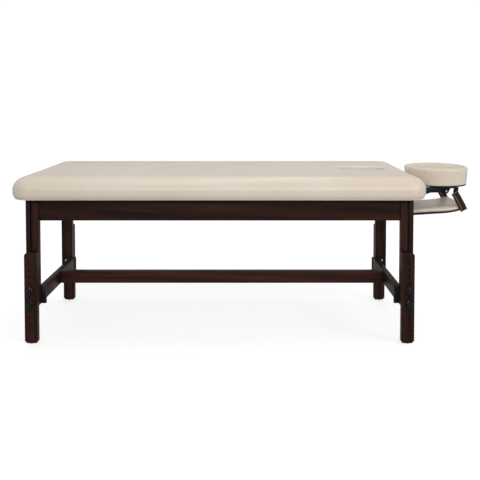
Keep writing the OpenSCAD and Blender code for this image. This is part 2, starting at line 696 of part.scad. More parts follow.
module arm_shelf_pad() color(cream) place() {
    half = shelf_w / 2 - soft_gap;
    rings = [for (i = [0:shelf_steps]) let (
            x = shelf_x + shelf_l * i / shelf_steps,
            e = min(i, shelf_steps - i),
            k = e == 0 ? pad_end_t_share : 1,
            w = e == 0 ? pad_end_w_share : 1)
        [for (j = [0:pad_section - 1]) let (a = 360 * j / pad_section, c = cos(a), s = sin(a))
            [x, -half * w * sign(c) * pow(abs(c), pad_side_power),
                shelf_at(x) + shelf_board_t + soft_gap + shelf_pad_t / 2
                + (shelf_pad_t / 2) * k * sign(s) * pow(abs(s), pad_top_power)]]];
    ring_skin(rings);
}

// webbing straps: the outer pair from the tilt brackets, the inner pair looped on the posts
function lower_snap_places() = [for (x = [shelf_x + shelf_l - strap_end, inner_strap_x])
    [x, shelf_at(x) + shelf_board_t / 2]];
strap_y = ear_outer + soft_gap;
module outer_straps() color(webbing) place() both_sides() difference() {
    low = lower_snap_places()[0];
    run = low - strut_low;
    length = norm(run);
    translate([strut_low[0], strap_y + strap_t, strut_low[1]]) rotate([90, 0, 0])
        rotate(atan2(run[1], run[0])) translate([-strap_past, -strap_w / 2]) linear_extrude(strap_t)
            square([length + 2 * strap_past, strap_w]);
    for (p = [strut_low, low]) along_y(p[0], strap_y - over, p[1], snap_hole_d, strap_t + 2 * over);
}
module inner_straps() color(webbing) place() both_sides() difference() {
    inner_r = strap_y - arm_y;
    band_z = post_z + post_d / 2 + soft_gap - inner_r;
    low = lower_snap_places()[1];
    union() {
        difference() {
            along_x(low[0] - inner_strap_w / 2, arm_y, band_z, 2 * (inner_r + strap_t), inner_strap_w);
            along_x(low[0] - inner_strap_w / 2 - over, arm_y, band_z, 2 * inner_r, inner_strap_w + 2 * over);
        }
        box([low[0] - inner_strap_w / 2, strap_y, low[1] - band_foot / 2],
            [low[0] + inner_strap_w / 2, strap_y + strap_t, band_z]);
    }
    along_y(low[0], strap_y - over, low[1], snap_hole_d, strap_t + 2 * over);
}
module snap(p, reach) {
    along_y(p[0], strap_y + strap_t, p[1], snap_d, snap_t);
    along_y(p[0], ear_outer - reach, p[1], snap_pin_d, strap_y + strap_t - ear_outer + reach);
}
module upper_snaps() color(blacked) place() both_sides() snap(strut_low, ear_t);
module lower_snaps() color(blacked) place() both_sides() for (p = lower_snap_places())
    snap(p, snap_t + ear_outer - shelf_w / 2);

top_cover();
foam_core();
deck();
deck_ribs();
deck_screws();
front_apron();
rear_apron();
head_rail();
foot_rail();
corner_blocks();
frame_bolts();
upper_leg_front_foot();
upper_leg_front_head();
upper_leg_rear_foot();
upper_leg_rear_head();
extension_front_foot();
extension_front_head();
extension_rear_foot();
extension_rear_head();
bolts_front_foot();
bolts_front_head();
bolts_rear_foot();
bolts_rear_head();
knob_front_foot_low();
knob_front_foot_high();
knob_front_head_low();
knob_front_head_high();
knob_rear_foot_low();
knob_rear_foot_high();
knob_rear_head_low();
knob_rear_head_high();
glide_front_foot();
glide_front_head();
glide_rear_foot();
glide_rear_head();
foot_brace();
head_brace();
long_stretcher();
brace_shoes();
shoe_screws();
stretcher_bolts();
barrel_nuts();
cradle_sleeves();
socket_blocks();
cradle_arm_near();
cradle_arm_far();
cradle_cross_bar();
pivot_rivets();
friction_washers();
tilt_bracket_near();
tilt_bracket_far();
cradle_plate();
hook_loop_strips();
face_cushion();
arm_shelf_board();
arm_shelf_pad();
outer_straps();
inner_straps();
upper_snaps();
lower_snaps();
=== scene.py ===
import json
import math

import bmesh
import bpy
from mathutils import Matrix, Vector, noise
from mathutils.bvhtree import BVHTree


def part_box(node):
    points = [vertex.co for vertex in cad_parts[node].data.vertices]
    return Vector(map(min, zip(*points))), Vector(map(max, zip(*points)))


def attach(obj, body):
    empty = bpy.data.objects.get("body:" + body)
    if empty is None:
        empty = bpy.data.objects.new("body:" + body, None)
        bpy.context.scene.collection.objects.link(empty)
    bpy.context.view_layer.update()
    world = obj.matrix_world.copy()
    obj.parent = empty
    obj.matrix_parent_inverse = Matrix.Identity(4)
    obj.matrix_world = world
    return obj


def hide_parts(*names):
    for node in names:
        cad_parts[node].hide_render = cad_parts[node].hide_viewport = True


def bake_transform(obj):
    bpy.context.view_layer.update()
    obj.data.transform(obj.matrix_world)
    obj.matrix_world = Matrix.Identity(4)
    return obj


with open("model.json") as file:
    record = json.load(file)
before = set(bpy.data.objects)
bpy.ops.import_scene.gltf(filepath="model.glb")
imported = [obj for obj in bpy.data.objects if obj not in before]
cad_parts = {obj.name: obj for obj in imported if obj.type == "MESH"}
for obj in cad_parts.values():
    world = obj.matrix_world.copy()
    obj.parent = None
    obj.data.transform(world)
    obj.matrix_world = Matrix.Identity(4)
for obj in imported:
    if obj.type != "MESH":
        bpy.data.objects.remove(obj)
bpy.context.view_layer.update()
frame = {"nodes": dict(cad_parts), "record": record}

scene = bpy.context.scene
mm = 0.001
corners = [f"{side}_{end}" for side in ("front", "rear") for end in ("foot", "head")]
bodyOfNode = {node: body for body, nodes in frame["record"]["behaviour"]["bodies"].items() for node in nodes}
slotOfNode = {row["node"]: row["material_slot"] for row in frame["record"]["subparts"]}

# the table's own middle, from which X is measured below
lowTop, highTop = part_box("top_cover")
midX = (lowTop.x + highTop.x) / 2
halfLength = (highTop.x - lowTop.x) / 2
halfWidth = (highTop.y - lowTop.y) / 2
topHeight = highTop.z
frameTop = lowTop.z


# small helpers

def setAll(thing, settings):
    for name, value in settings.items():
        setattr(thing, name, value)


def addObject(name, data):
    item = bpy.data.objects.new(name, data)
    scene.collection.objects.link(item)
    return item


def clamp(value):
    return min(1.0, max(0.0, value))


def fullTurn(count):
    return [2 * math.pi * i / count for i in range(count)]


def quarterTurn(count):
    return [math.radians(90 * i / count) for i in range(1, count + 1)]


# rounds a circle's sine or cosine out towards a square
def squareOff(value, power):
    return math.copysign(abs(value) ** power, value)


# node trees

class Value:
    # a node's output, with the plain arithmetic that shader maths needs
    def __init__(self, tree, socket):
        self.tree, self.socket = tree, socket

    def output(self, name):
        return Value(self.tree, self.socket.node.outputs[name])    # another output of the same node

    def maths(self, operation, *values):
        return self.tree.node("ShaderNodeMath", {"operation": operation}, values)

    def alone(self, operation):
        return self.maths(operation, self)

    def __add__(self, other):
        return self.maths("ADD", self, other)

    def __sub__(self, other):
        return self.maths("SUBTRACT", self, other)

    def __rsub__(self, other):
        return self.maths("SUBTRACT", other, self)

    def __mul__(self, other):
        return self.maths("MULTIPLY", self, other)

    __radd__ = __add__
    __rmul__ = __mul__


class NodeTree:
    # last is the node that the others feed
    def __init__(self, tree, last):
        self.nodes, self.links, self.last = tree.nodes, tree.links, last

    # any node: its settings come first, then the values or links of its sockets
    def node(self, kind, settings=None, values=(), output=0):
        made = self.nodes.new(kind)
        setAll(made, settings or {})
        pairs = values.items() if isinstance(values, dict) else enumerate(values)
        for socket, value in pairs:
            if isinstance(value, Value):
                self.links.new(value.socket, made.inputs[socket])
            else:
                made.inputs[socket].default_value = value
        return Value(self, made.outputs[output])

    def steps(self, factor, low, high):
        return self.node("ShaderNodeMapRange", {"interpolation_type": "SMOOTHSTEP"},
                         {"Value": factor, "From Min": low, "From Max": high})

    def feed(self, socket, value):
        self.links.new(value.socket, self.last.inputs[socket])


class Finish(NodeTree):
    # what is the same all over stands on the shader's own sockets
    def __init__(self, name, constants):
        self.material = bpy.data.materials.new(name)
        self.material.use_nodes = True
        tree = self.material.node_tree
        super().__init__(tree, tree.nodes["Principled BSDF"])
        for socket, value in constants.items():
            self.last.inputs[socket].default_value = value
        colour = constants.get("Base Color")
        if colour:
            self.material.diffuse_color = colour

    def place(self, scale=(1, 1, 1)):
        spot = self.node("ShaderNodeTexCoord", output="Object")
        return self.node("ShaderNodeMapping", {}, {"Vector": spot, "Scale": scale})

    def noise(self, spot, scale, detail, roughness=0.5, distortion=0.0):
        return self.node("ShaderNodeTexNoise", {}, {"Vector": spot, "Scale": scale, "Detail": detail,
                                                   "Roughness": roughness, "Distortion": distortion})

    def cells(self, spot, scale, feature, output=0):
        return self.node("ShaderNodeTexVoronoi", {"feature": feature}, {"Vector": spot, "Scale": scale},
                         output)

    def mix(self, factor, first, second, how="MIX"):
        return self.node("ShaderNodeMix", {"data_type": "RGBA", "blend_type": how},
                         {0: factor, 6: first, 7: second}, 2)

    def bump(self, height, depth, strength, under=None):
        values = {"Height": height, "Distance": depth, "Strength": strength}
        if under:
            values["Normal"] = under
        return self.node("ShaderNodeBump", {}, values)


# camera and light

view = {"focal": 603.85, "distance": 2.6912, "height": 1.1231, "aside": 0.1182, "pitch": 1.95, "row": 115.6,
        "column": 245.72, "pictureSize": 480, "sensor": 36.0, "farLimit": 60}


def makeCamera():
    size = view["pictureSize"]
    data = bpy.data.cameras.new("camera")
    data.sensor_width = view["sensor"]
    data.lens = view["sensor"] * view["focal"] / size
    data.shift_x = (size / 2 - view["column"]) / size
    data.shift_y = (view["row"] - size / 2) / size
    data.clip_end = view["farLimit"]
    camera = addObject("camera", data)
    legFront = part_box("extension_front_head")[0].y
    camera.location = (midX + view["aside"], legFront - view["distance"], view["height"])
    camera.rotation_euler = (math.radians(90 - view["pitch"]), 0, 0)
    scene.camera = camera


# the world's strength in front, and how it fades to another one: axis, start, end, strength
# lamps: size, place, aim, power
studio = {"front": 0.58,
          "fades": {"back": ("Y", -0.4, 0.3, 0.53), "up": ("Z", 0.05, 0.7, 0.86),
                    "below": ("Z", -0.02, -0.4, 0.58)},
          "lamps": {"overhead": ((3.2, 0.7), (-0.1, 0.15, 2.7), (0, 0.1, 0.7), 12),
                    "key": ((3.6, 0.3), (0.1, -3.1, 1.55), (0, 0, 0.7), 37),
                    "side": ((1.2, 1.4), (2.7, -1.5, 1.5), (0.8, 0, 0.7), 20)},
          "floorSize": 58, "floorTone": 0.42, "floorGlow": 0.66,
          "domeRadius": 30, "domeSteps": 24, "domeTone": 0.0, "domeGlow": 1.05}


def makeLight(name, size, place, aim, power):
    data = bpy.data.lights.new(name, "AREA")
    data.shape = "RECTANGLE"
    data.size, data.size_y = size
    data.energy = power
    lamp = addObject(name, data)
    lamp.location = place
    lamp.rotation_euler = (Vector(aim) - Vector(place)).to_track_quat("-Z", "Y").to_euler()


def makeWorld():
    # soft light by direction: level all round, a little brighter from above
    scene.world = bpy.data.worlds.new("studio")
    scene.world.use_nodes = True
    tree = scene.world.node_tree
    sky = NodeTree(tree, tree.nodes["Background"])
    way = sky.node("ShaderNodeSeparateXYZ", {}, [sky.node("ShaderNodeTexCoord", output="Generated")])
    strength = studio["front"]
    for axis, start, end, other in studio["fades"].values():
        share = sky.steps(way.output(axis), start, end)
        strength = sky.node("ShaderNodeMix", {}, {0: share, 2: strength, 3: other})
    sky.feed("Strength", strength)
    sky.last.inputs["Color"].default_value = (1, 1, 1, 1)


def stageObject(name, vertices, faces, tone, glow):
    # seen by the camera alone, so that a white surrounding doesn't wash out the dark wood
    finish = Finish(name + "Finish", {"Base Color": (tone, tone, tone, 1), "Roughness": 0.6,
                                      "Specular IOR Level": 0.1, "Emission Color": (1, 1, 1, 1),
                                      "Emission Strength": glow})
    mesh = bpy.data.meshes.new(name)
    mesh.from_pydata(vertices, [], faces)
    mesh.materials.append(finish.material)
    item = addObject(name, mesh)
    item.visible_diffuse = False
    item.visible_glossy = False
    item.visible_transmission = False
    item.visible_shadow = False


def makeStudio():
    makeWorld()
    scene.view_settings.view_transform = "Standard"
    for name, lamp in studio["lamps"].items():
        makeLight(name, *lamp)
    h = studio["floorSize"] / 2
    stageObject("floor", [(-h, -h, 0), (h, -h, 0), (h, h, 0), (-h, h, 0)], [(0, 1, 2, 3)],
                studio["floorTone"], studio["floorGlow"])
    count = studio["domeSteps"]
    r = studio["domeRadius"]
    vertices = []
    for j in range(count + 1):
        a = math.pi * (j / count - 0.5)
        for i in range(2 * count):
            b = math.pi * i / count
            vertices.append((r * math.cos(a) * math.cos(b), r * math.cos(a) * math.sin(b), r * math.sin(a)))
    stageObject("backdrop", vertices, ringFaces(count + 1, 2 * count), studio["domeTone"], studio["domeGlow"])


# materials

def vinylFinish():
    look = {"light": (0.600, 0.524, 0.436, 1), "shade": (0.568, 0.488, 0.396, 1),
            "paintedShadeAndGrain": (0.26, 0.18, 0.11, 1), "paintedShadeShare": 0.55, "grainShare": 0.10,
            "broad": 3.2, "patch": 38, "cell": 950.0, "pore": 2400, "roughness": 0.40}
    f = Finish("creamVinyl", {"Base Color": look["light"], "Specular IOR Level": 0.5, "Coat Weight": 0.5,
                              "Coat Roughness": 0.26})
    spot = f.place()
    broad = f.noise(spot, look["broad"], 3)
    patch = f.noise(spot, look["patch"], 4, 0.6)
    grain = f.steps(f.cells(spot, look["cell"], "DISTANCE_TO_EDGE"), 0.02, 0.2)
    pores = f.noise(spot, look["pore"], 3, 0.6)
    # painted shade: a point attribute darkens the vinyl towards a tan in pleats, folds, hollows and towards
    # the bottom of its edges; the grain's cell edges take the same tan
    paintedShadeAndGrain = f.node("ShaderNodeAttribute", {"attribute_name": "paintedShadeAndGrain"}, output="Fac")
    tone = f.mix(f.steps(broad * 0.7 + patch * 0.3, 0.35, 0.65), look["shade"], look["light"])
    tone = f.mix((1 - grain) * look["grainShare"], tone, look["paintedShadeAndGrain"])
    tone = f.mix(paintedShadeAndGrain * look["paintedShadeShare"], tone, look["paintedShadeAndGrain"])
    f.feed("Base Color", tone)
    f.feed("Roughness", patch * 0.12 + (1 - grain) * 0.12 + (look["roughness"] - 0.06))
    soft = f.bump(patch, 0.0006, 0.35)
    f.feed("Normal", f.bump(grain * 0.8 + pores * 0.2, 0.00012, 0.6, soft))
    return f.material


def woodFinish(name, axis, dark, light, streak, roughness=0.42):
    # grain runs along one axis: the pattern is squeezed across it and drawn out along it
    look = {"across": 26.0, "along": 1.5, "poreAcross": 620.0, "poreAlong": 16.0, "bands": 0.42,
            "bandShare": 0.45, "bendShare": 0.55, "streakShare": 0.5, "poreShare": 0.6, "poreTone": 0.35,
            "stain": 5.5, "stainShare": 0.22}
    dark, light, streak = (*dark, 1), (*light, 1), (*streak, 1)
    f = Finish(name, {"Base Color": dark, "Specular IOR Level": 0.12})
    coarse = [look["across"]] * 3
    fine = [look["poreAcross"]] * 3
    coarse[axis], fine[axis] = look["along"], look["poreAlong"]
    spot = f.place(coarse)
    bend = f.noise(spot, 1.0, 5, 0.55, 0.6)
    bands = f.node("ShaderNodeTexWave", {"wave_type": "BANDS", "bands_direction": "DIAGONAL"},
                   {"Vector": spot, "Scale": look["bands"], "Distortion": 5.5, "Detail": 3.0,
                    "Detail Scale": 1.4}, "Fac")
    pores = f.steps(f.noise(f.place(fine), 1.0, 2), 0.56, 0.70)
    stain = f.noise(f.place(), look["stain"], 3)
    figure = f.steps(bands * look["bandShare"] + bend * look["bendShare"], 0.12, 0.90)
    tone = f.mix(figure, dark, light)
    tone = f.mix(f.steps(bend, 0.54, 0.74) * look["streakShare"], tone, streak)
    tone = f.mix(pores * look["poreShare"], tone, (*[c * look["poreTone"] for c in dark[:3]], 1))
    tone = f.mix(f.steps(stain, 0.3, 0.7) * look["stainShare"], tone, dark)
    f.feed("Base Color", tone)
    f.feed("Roughness", bend * 0.14 + pores * 0.2 + (roughness - 0.07))
    f.feed("Normal", f.bump(1 - pores, 0.00015, 0.5, f.bump(bend, 0.0004, 0.25)))
    return f.material


def steelFinish():
    look = {"zinc": (0.56, 0.57, 0.58, 1), "spangle": 420.0, "spangleShare": 0.12, "smear": 160,
            "brushed": (60, 1800, 1800)}
    f = Finish("zincSteel", {"Base Color": look["zinc"], "Metallic": 1.0, "Roughness": 0.3})
    spot = f.place()
    spangle = f.cells(spot, look["spangle"], "F1", "Color")
    f.feed("Base Color", f.mix(look["spangleShare"], look["zinc"], spangle, "OVERLAY"))
    f.feed("Roughness", f.noise(spot, look["smear"], 4, 0.6) * 0.22 + 0.2)
    f.feed("Normal", f.bump(f.noise(f.place(look["brushed"]), 1.0, 2), 0.00005, 0.4))
    return f.material


def rivetFinish(spin):
    # black head with a small bright bare-metal disc in its middle, a painted highlight where the head catches
    # the light
    look = {"bright": 0.0032, "dark": 0.0048, "uneven": 0.0006, "black": (0.006, 0.0065, 0.009, 1),
            "paintedHighlight": (0.66, 0.67, 0.68, 1)}
    f = Finish("rivetPaintedHighlight", {"Roughness": 0.32, "Specular IOR Level": 0.2})
    spot = f.node("ShaderNodeTexCoord", output="Object")
    spot = f.node("ShaderNodeVectorMath", {"operation": "SUBTRACT"}, [spot, spin])
    flat = f.node("ShaderNodeVectorMath", {"operation": "MULTIPLY"}, [spot, (1, 0, 1)])
    reach = f.node("ShaderNodeVectorMath", {"operation": "LENGTH"}, [flat], "Value")
    paintedHighlight = 1 - f.steps(reach + f.noise(f.place(), 900, 2) * look["uneven"], look["bright"], look["dark"])
    f.feed("Base Color", f.mix(paintedHighlight, look["black"], look["paintedHighlight"]))
    f.feed("Metallic", paintedHighlight)
    return f.material


def blackSteelFinish():
    # powder coat with its orange peel
    look = {"black": (0.005, 0.0055, 0.008, 1), "dusty": (0.013, 0.014, 0.018, 1), "peel": 620, "dust": 24,
            "dustShare": 0.35}
    f = Finish("blackSteel", {"Base Color": look["black"], "Specular IOR Level": 0.12})
    spot = f.place()
    peel = f.noise(spot, look["peel"], 2)
    dust = f.noise(spot, look["dust"], 4, 0.6)
    f.feed("Base Color", f.mix(f.steps(dust, 0.4, 0.75) * look["dustShare"], look["black"], look["dusty"]))
    f.feed("Roughness", dust * 0.14 + 0.30)
    f.feed("Normal", f.bump(peel, 0.0002, 0.35))
    return f.material


def plasticFinish(name, colour, roughness):
    look = {"texture": 1700, "wear": 90, "wearShare": 0.4, "wornTone": (*[c * 2.2 + 0.01 for c in colour], 1)}
    colour = (*colour, 1)
    f = Finish(name, {"Base Color": colour, "Roughness": roughness, "Specular IOR Level": 0.15})
    spot = f.place()
    texture = f.noise(spot, look["texture"], 3, 0.6)
    wear = f.noise(spot, look["wear"], 4, 0.6)
    f.feed("Base Color", f.mix(f.steps(wear, 0.5, 0.8) * look["wearShare"], colour, look["wornTone"]))
    f.feed("Roughness", wear * 0.16 + (roughness - 0.08))
    f.feed("Normal", f.bump(texture, 0.00012, 0.4))
    return f.material


def webbingFinish():
    # woven strap on the strip's own UV map, in metres: ribs along it and a pale stripe down its middle
    look = {"dark": (0.016, 0.006, 0.004, 1), "light": (0.060, 0.019, 0.010, 1),
            "stripe": (0.30, 0.20, 0.11, 1), "rib": 520.0, "stripeAt": -0.006, "stripeHalf": 0.002}
    f = Finish("strapWebbing", {"Base Color": look["dark"], "Specular IOR Level": 0.15})
    along = f.node("ShaderNodeSeparateXYZ", {}, [f.node("ShaderNodeTexCoord", output="UV")])
    across = along.output("Y")
    warp = (along * (look["rib"] * 2.0)).alone("SINE") * 0.5 + 0.5
    weft = (across * (look["rib"] * 2.6)).alone("SINE") * 0.5 + 0.5
    weave = warp * weft
    half = look["stripeHalf"]
    stripe = 1 - f.steps((across - look["stripeAt"]).alone("ABSOLUTE"), half * 0.7, half)
    tone = f.mix(weave, look["dark"], look["light"])
    tone = f.mix(stripe * (weave * 0.5 + 0.5), tone, look["stripe"])
    f.feed("Base Color", tone)
    f.feed("Roughness", weave * 0.15 + 0.7)
    f.feed("Normal", f.bump(weave, 0.0003, 0.7))
    return f.material


def foamFinish():
    look = {"base": (0.78, 0.72, 0.45, 1), "wall": (0.80, 0.75, 0.50, 1), "pit": (0.55, 0.48, 0.25, 1)}
    f = Finish("foam", {"Base Color": look["base"], "Roughness": 0.95})
    cells = f.cells(f.place(), 900.0, "F1")
    f.feed("Base Color", f.mix(cells, look["wall"], look["pit"]))
    f.feed("Normal", f.bump(cells, 0.0006, 0.8))
    return f.material


woods = {"espresso": {"dark": (0.011, 0.0038, 0.0026), "light": (0.032, 0.0092, 0.0050),
                      "streak": (0.066, 0.0175, 0.0082)},
         "mahogany": {"dark": (0.021, 0.0072, 0.0055), "light": (0.050, 0.0160, 0.0105),
                      "streak": (0.082, 0.025, 0.015)},
         "birch": {"dark": (0.42, 0.28, 0.16), "light": (0.62, 0.46, 0.29), "streak": (0.70, 0.55, 0.37),
                   "roughness": 0.6}}


def makeFinishes():
    made = {"vinyl": vinylFinish(), "plywood": woodFinish("birchPlywood", 0, **woods["birch"]),
            "zinc_steel": steelFinish(), "black_steel": blackSteelFinish(), "webbing": webbingFinish(),
            "foam": foamFinish(),
            "knob_plastic": plasticFinish("knobPlastic", (0.006, 0.008, 0.009), 0.45),
            "black_plastic": plasticFinish("platePlastic", (0.006, 0.006, 0.007), 0.6),
            "glide_rubber": plasticFinish("glideRubber", (0.02, 0.02, 0.02), 0.7),
            "hook_tape": plasticFinish("hookTape", (0.02, 0.02, 0.022), 0.9),
            "thread": plasticFinish("tanThread", (0.28, 0.19, 0.11), 0.75)}
    for axis, letter in enumerate("XYZ"):
        made[f"frame_wood_{letter}"] = woodFinish(f"espressoWood{letter}", axis, **woods["espresso"])
    made["stretcher_wood"] = woodFinish("mahoganyWoodX", 0, **woods["mahogany"])
    return made


# meshes

def smooth(mesh):
    for face in mesh.polygons:
        face.use_smooth = True


def sharpen(mesh, angle):
    mesh.set_sharp_from_angle(angle=math.radians(angle))


def addPiece(name, vertices, faces, material):
    mesh = bpy.data.meshes.new(name)
    mesh.from_pydata([tuple(v) for v in vertices], [], faces)
    mesh.validate()
    mesh.materials.append(material)
    smooth(mesh)
    return addObject(name, mesh)


# a piece with its doubled points merged and its faces turned outwards
def closedPiece(name, vertices, faces, material):
    piece = addPiece(name, vertices, faces, material)
    work = bmesh.new()
    work.from_mesh(piece.data)
    bmesh.ops.remove_doubles(work, verts=work.verts, dist=1e-6)
    bmesh.ops.recalc_face_normals(work, faces=work.faces)
    work.to_mesh(piece.data)
    work.free()
    return piece


def settle(piece, body):
    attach(piece, body)


# the piece takes the body and the place of a CAD node
def standFor(piece, node):
    settle(piece, bodyOfNode[node])
    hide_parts(node)


def addModifier(piece, kind, **settings):
    modifier = piece.modifiers.new(kind.lower(), kind)
    setAll(modifier, settings)
    return modifier


def evaluatedMesh(item):
    bpy.context.view_layer.update()
    return bpy.data.meshes.new_from_object(item.evaluated_get(bpy.context.evaluated_depsgraph_get()))


def applyModifiers(piece):
    mesh = evaluatedMesh(piece)
    piece.modifiers.clear()
    piece.data = mesh


# faces between rings of equal numbers of points, with the ends left open or closed by one face each
def ringFaces(ringCount, pointCount, closed=True, caps=False):
    faces = []
    around = pointCount if closed else pointCount - 1
    for j in range(ringCount - 1):
        for i in range(around):
            a, b = j * pointCount + i, j * pointCount + (i + 1) % pointCount
            faces.append((a, b, b + pointCount, a + pointCount))
    if caps:
        faces.append(tuple(range(pointCount))[::-1])
        faces.append(tuple((ringCount - 1) * pointCount + i for i in range(pointCount)))
    return faces


# wooden boards, metal and small parts: the CAD shape with softened edges, angles in degrees

softening = {"merge": 2e-6, "flatAngle": 0.6, "segments": 2, "bevelAngle": 35, "sharpAngle": 32}


def softenNode(node, material, width):
    mesh = frame["nodes"][node].data.copy()
    work = bmesh.new()
    work.from_mesh(mesh)
    bmesh.ops.remove_doubles(work, verts=work.verts, dist=softening["merge"])
    bmesh.ops.dissolve_limit(work, angle_limit=math.radians(softening["flatAngle"]), verts=work.verts,
                             edges=work.edges)
    work.to_mesh(mesh)
    work.free()
    mesh.materials.clear()
    mesh.materials.append(material)
    piece = addObject(node + "_soft", mesh)
    addModifier(piece, "BEVEL", width=width, segments=softening["segments"], limit_method="ANGLE",
                angle_limit=math.radians(softening["bevelAngle"]))
    applyModifiers(piece)
    smooth(piece.data)
    sharpen(piece.data, softening["sharpAngle"])
    standFor(piece, node)


# the axis along which each board's grain runs
boards = {"edge": 1.6 * mm,
          "grain": {"front_apron": "X", "rear_apron": "X", "head_rail": "Y", "foot_rail": "Y",
                    "foot_brace": "Y", "head_brace": "Y", "arm_shelf_board": "X"}}
for corner in corners:
    boards["grain"][f"upper_leg_{corner}"] = "Z"
    boards["grain"][f"extension_{corner}"] = "Z"


def makeBoards(finishes):
    for node, letter in boards["grain"].items():
        softenNode(node, finishes[f"frame_wood_{letter}"], boards["edge"])
    softenNode("long_stretcher", finishes["stretcher_wood"], boards["edge"])


hardware = {"edge": 0.7 * mm, "paintedHighlight": ["pivot_rivets", "friction_washers"],
            "nodes": ["brace_shoes", "cradle_sleeves", "cradle_arm_near", "cradle_arm_far",
                      "tilt_bracket_near", "tilt_bracket_far", "cradle_plate", "pivot_rivets",
                      "friction_washers", "upper_snaps", "lower_snaps", "shoe_screws", "frame_bolts",
                      "stretcher_bolts", "deck_ribs", "corner_blocks", "socket_blocks"]}
for corner in corners:
    hardware["nodes"] += [f"bolts_{corner}", f"glide_{corner}"]


def makeHardware(finishes):
    low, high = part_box("pivot_rivets")
    # the rivets and washers take the black finish with the painted highlight
    paintedHighlight = rivetFinish((low + high) / 2)
    for node in hardware["nodes"]:
        finish = paintedHighlight if node in hardware["paintedHighlight"] else finishes[slotOfNode[node]]
        softenNode(node, finish, hardware["edge"])


# hand knobs: a lobed ring with rounded edges round a raised hub, and a blind bore over the bolt
# rings: radius and depth in mm, and how strongly the lobes show

knobs = {"lobes": 6, "steps": 96, "round": 0.72, "lobeDepth": 0.17, "sharpAngle": 38,
         "rings": ((4.1, 16, 0), (4.1, 0, 0), (9, 0, 0), (10.4, 0.5, 0), (11, 2, 0), (11, 4.6, 0),
                   (13.5, 5.6, 0.7), (15.2, 6.6, 0.95), (16, 9, 1), (16, 18.5, 1), (15.5, 20.6, 1),
                   (14.2, 21.7, 0.9), (12, 22, 0.5), (9.9, 22.1, 0), (9.5, 23.6, 0), (8.6, 24.2, 0),
                   (5, 24.2, 0), (2.4, 23.8, 0))}


def makeKnob(node, side, finishes):
    low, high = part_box(node)
    centre = (low + high) / 2
    seat = high.y if side < 0 else low.y
    vertices = []
    for radius, depth, lobed in knobs["rings"]:
        y = seat + side * depth * mm
        for a in fullTurn(knobs["steps"]):
            notch = (0.5 - 0.5 * math.cos(knobs["lobes"] * a)) ** knobs["round"]
            r = radius * mm * (1 - knobs["lobeDepth"] * lobed * notch)
            vertices.append((centre.x + r * math.cos(a), y, centre.z + r * math.sin(a)))
    faces = ringFaces(len(knobs["rings"]), knobs["steps"], caps=True)
    piece = closedPiece(node + "_lobed", vertices, faces, finishes["knob_plastic"])
    sharpen(piece.data, knobs["sharpAngle"])
    standFor(piece, node)


def makeKnobs(finishes):
    for corner in corners:
        for height in ("low", "high"):
            makeKnob(f"knob_{corner}_{height}", -1 if corner.startswith("front") else 1, finishes)


def dressRest(finishes):
    for node, thing in frame["nodes"].items():
        if not thing.hide_render:
            thing.data.materials.clear()
            thing.data.materials.append(finishes[slotOfNode[node]])


# padded top: nested outlines run from the lip under the deck, round the edge and over the crown to the hole
# pleats of a corner: angle in degrees, lean in degrees per mm of height, share of the depth

# the shade values below are painted shade in the vinyl's colour: in the pleats, towards the bottom of the
# edge, down the face hole's wall and at its ends
top = {"rollWidth": 72 * mm, "rollHeight": 58 * mm, "rollSteps": 16, "rollPleat": 0.3, "rollPleatLoss": 0.03,
       "cornerRadius": 92 * mm, "leastRadius": 2 * mm, "cornerSteps": 22, "longSteps": 92, "shortSteps": 34,
       "sideDraw": 2.5 * mm, "crown": 3 * mm, "crownPower": 2.2, "crownSteps": 26, "ripple": 0.5 * mm,
       "rippleScale": 5.5, "rippleStart": 4, "lipReach": 40 * mm, "lipShares": (1, 0.66, 0.33, 0.1),
       "lipDrop": 1.7 * mm, "beadRadius": 2.2 * mm, "beadInset": 10.6 * mm, "beadStep": 30, "beadPleat": 0.3,
       "grooveInset": 10 * mm, "grooveLift": 0.5 * mm, "groovePleat": 0.6, "lowShade": 0.22,
       "shadeReach": 24 * mm, "lowerInset": 9 * mm, "lowerHeight": 22.4 * mm, "lowerLift": 0.8 * mm,
       "lowerSteps": 8, "lowerPleatLoss": 0.05, "sideShares": (0.3, 0.6, 0.85), "sidePleat": 0.6,
       "sidePleatLoss": 0.3,
       "holeLength": 240 * mm, "holeWidth": 120 * mm, "holeFromEnd": 237 * mm, "rimRadius": 12 * mm,
       "rimSteps": 8, "wallSteps": 8, "wallLift": 0.4 * mm, "wallShade": 0.25, "rimDip": 2.2 * mm,
       "dipReach": 24 * mm, "endShade": 0.8, "endPower": 12, "thickness": 1.6 * mm,
       "pleats": ((9, 0.10, 0.5), (24, 0.16, 0.9), (38, 0.05, 0.6), (55, -0.10, 1.0), (71, -0.16, 0.7)),
       "pleatWidth": 3.4, "pleatDepth": 2.0 * mm, "pleatShade": 0.4, "wave": 0.35 * mm,
       "wavePitch": (96, 83, 7), "wallFold": 1.2 * mm, "wallWave": 0.8 * mm, "wallPitch": 0.7}


def topOutline(inset):
    # points of a rounded oblong, each with its corner's angle, or -1 on a side; the sides draw in a little
    r = max(top["cornerRadius"] - inset, top["leastRadius"])
    ax, ay = halfLength - inset - r, halfWidth - inset - r
    points = []
    for quarter in range(4):
        cx = ax if quarter in (0, 3) else -ax
        cy = ay if quarter < 2 else -ay
        for i in range(top["cornerSteps"]):
            share = i / top["cornerSteps"]
            a = math.radians(90 * (quarter + share))
            points.append((cx + r * math.cos(a), cy + r * math.sin(a), 90 * share))
        count = top["longSteps"] if quarter % 2 == 0 else top["shortSteps"]
        a = math.radians(90 * (quarter + 1))
        for i in range(count):
            t = i / count
            draw = top["sideDraw"] * math.sin(math.pi * t)
            if quarter % 2 == 0:
                points.append((cx * (1 - 2 * t), (cy + r * math.sin(a)) * (1 - draw / halfWidth), -1))
            else:
                points.append(((cx + r * math.cos(a)) * (1 - draw / halfLength), cy * (1 - 2 * t), -1))
    return points


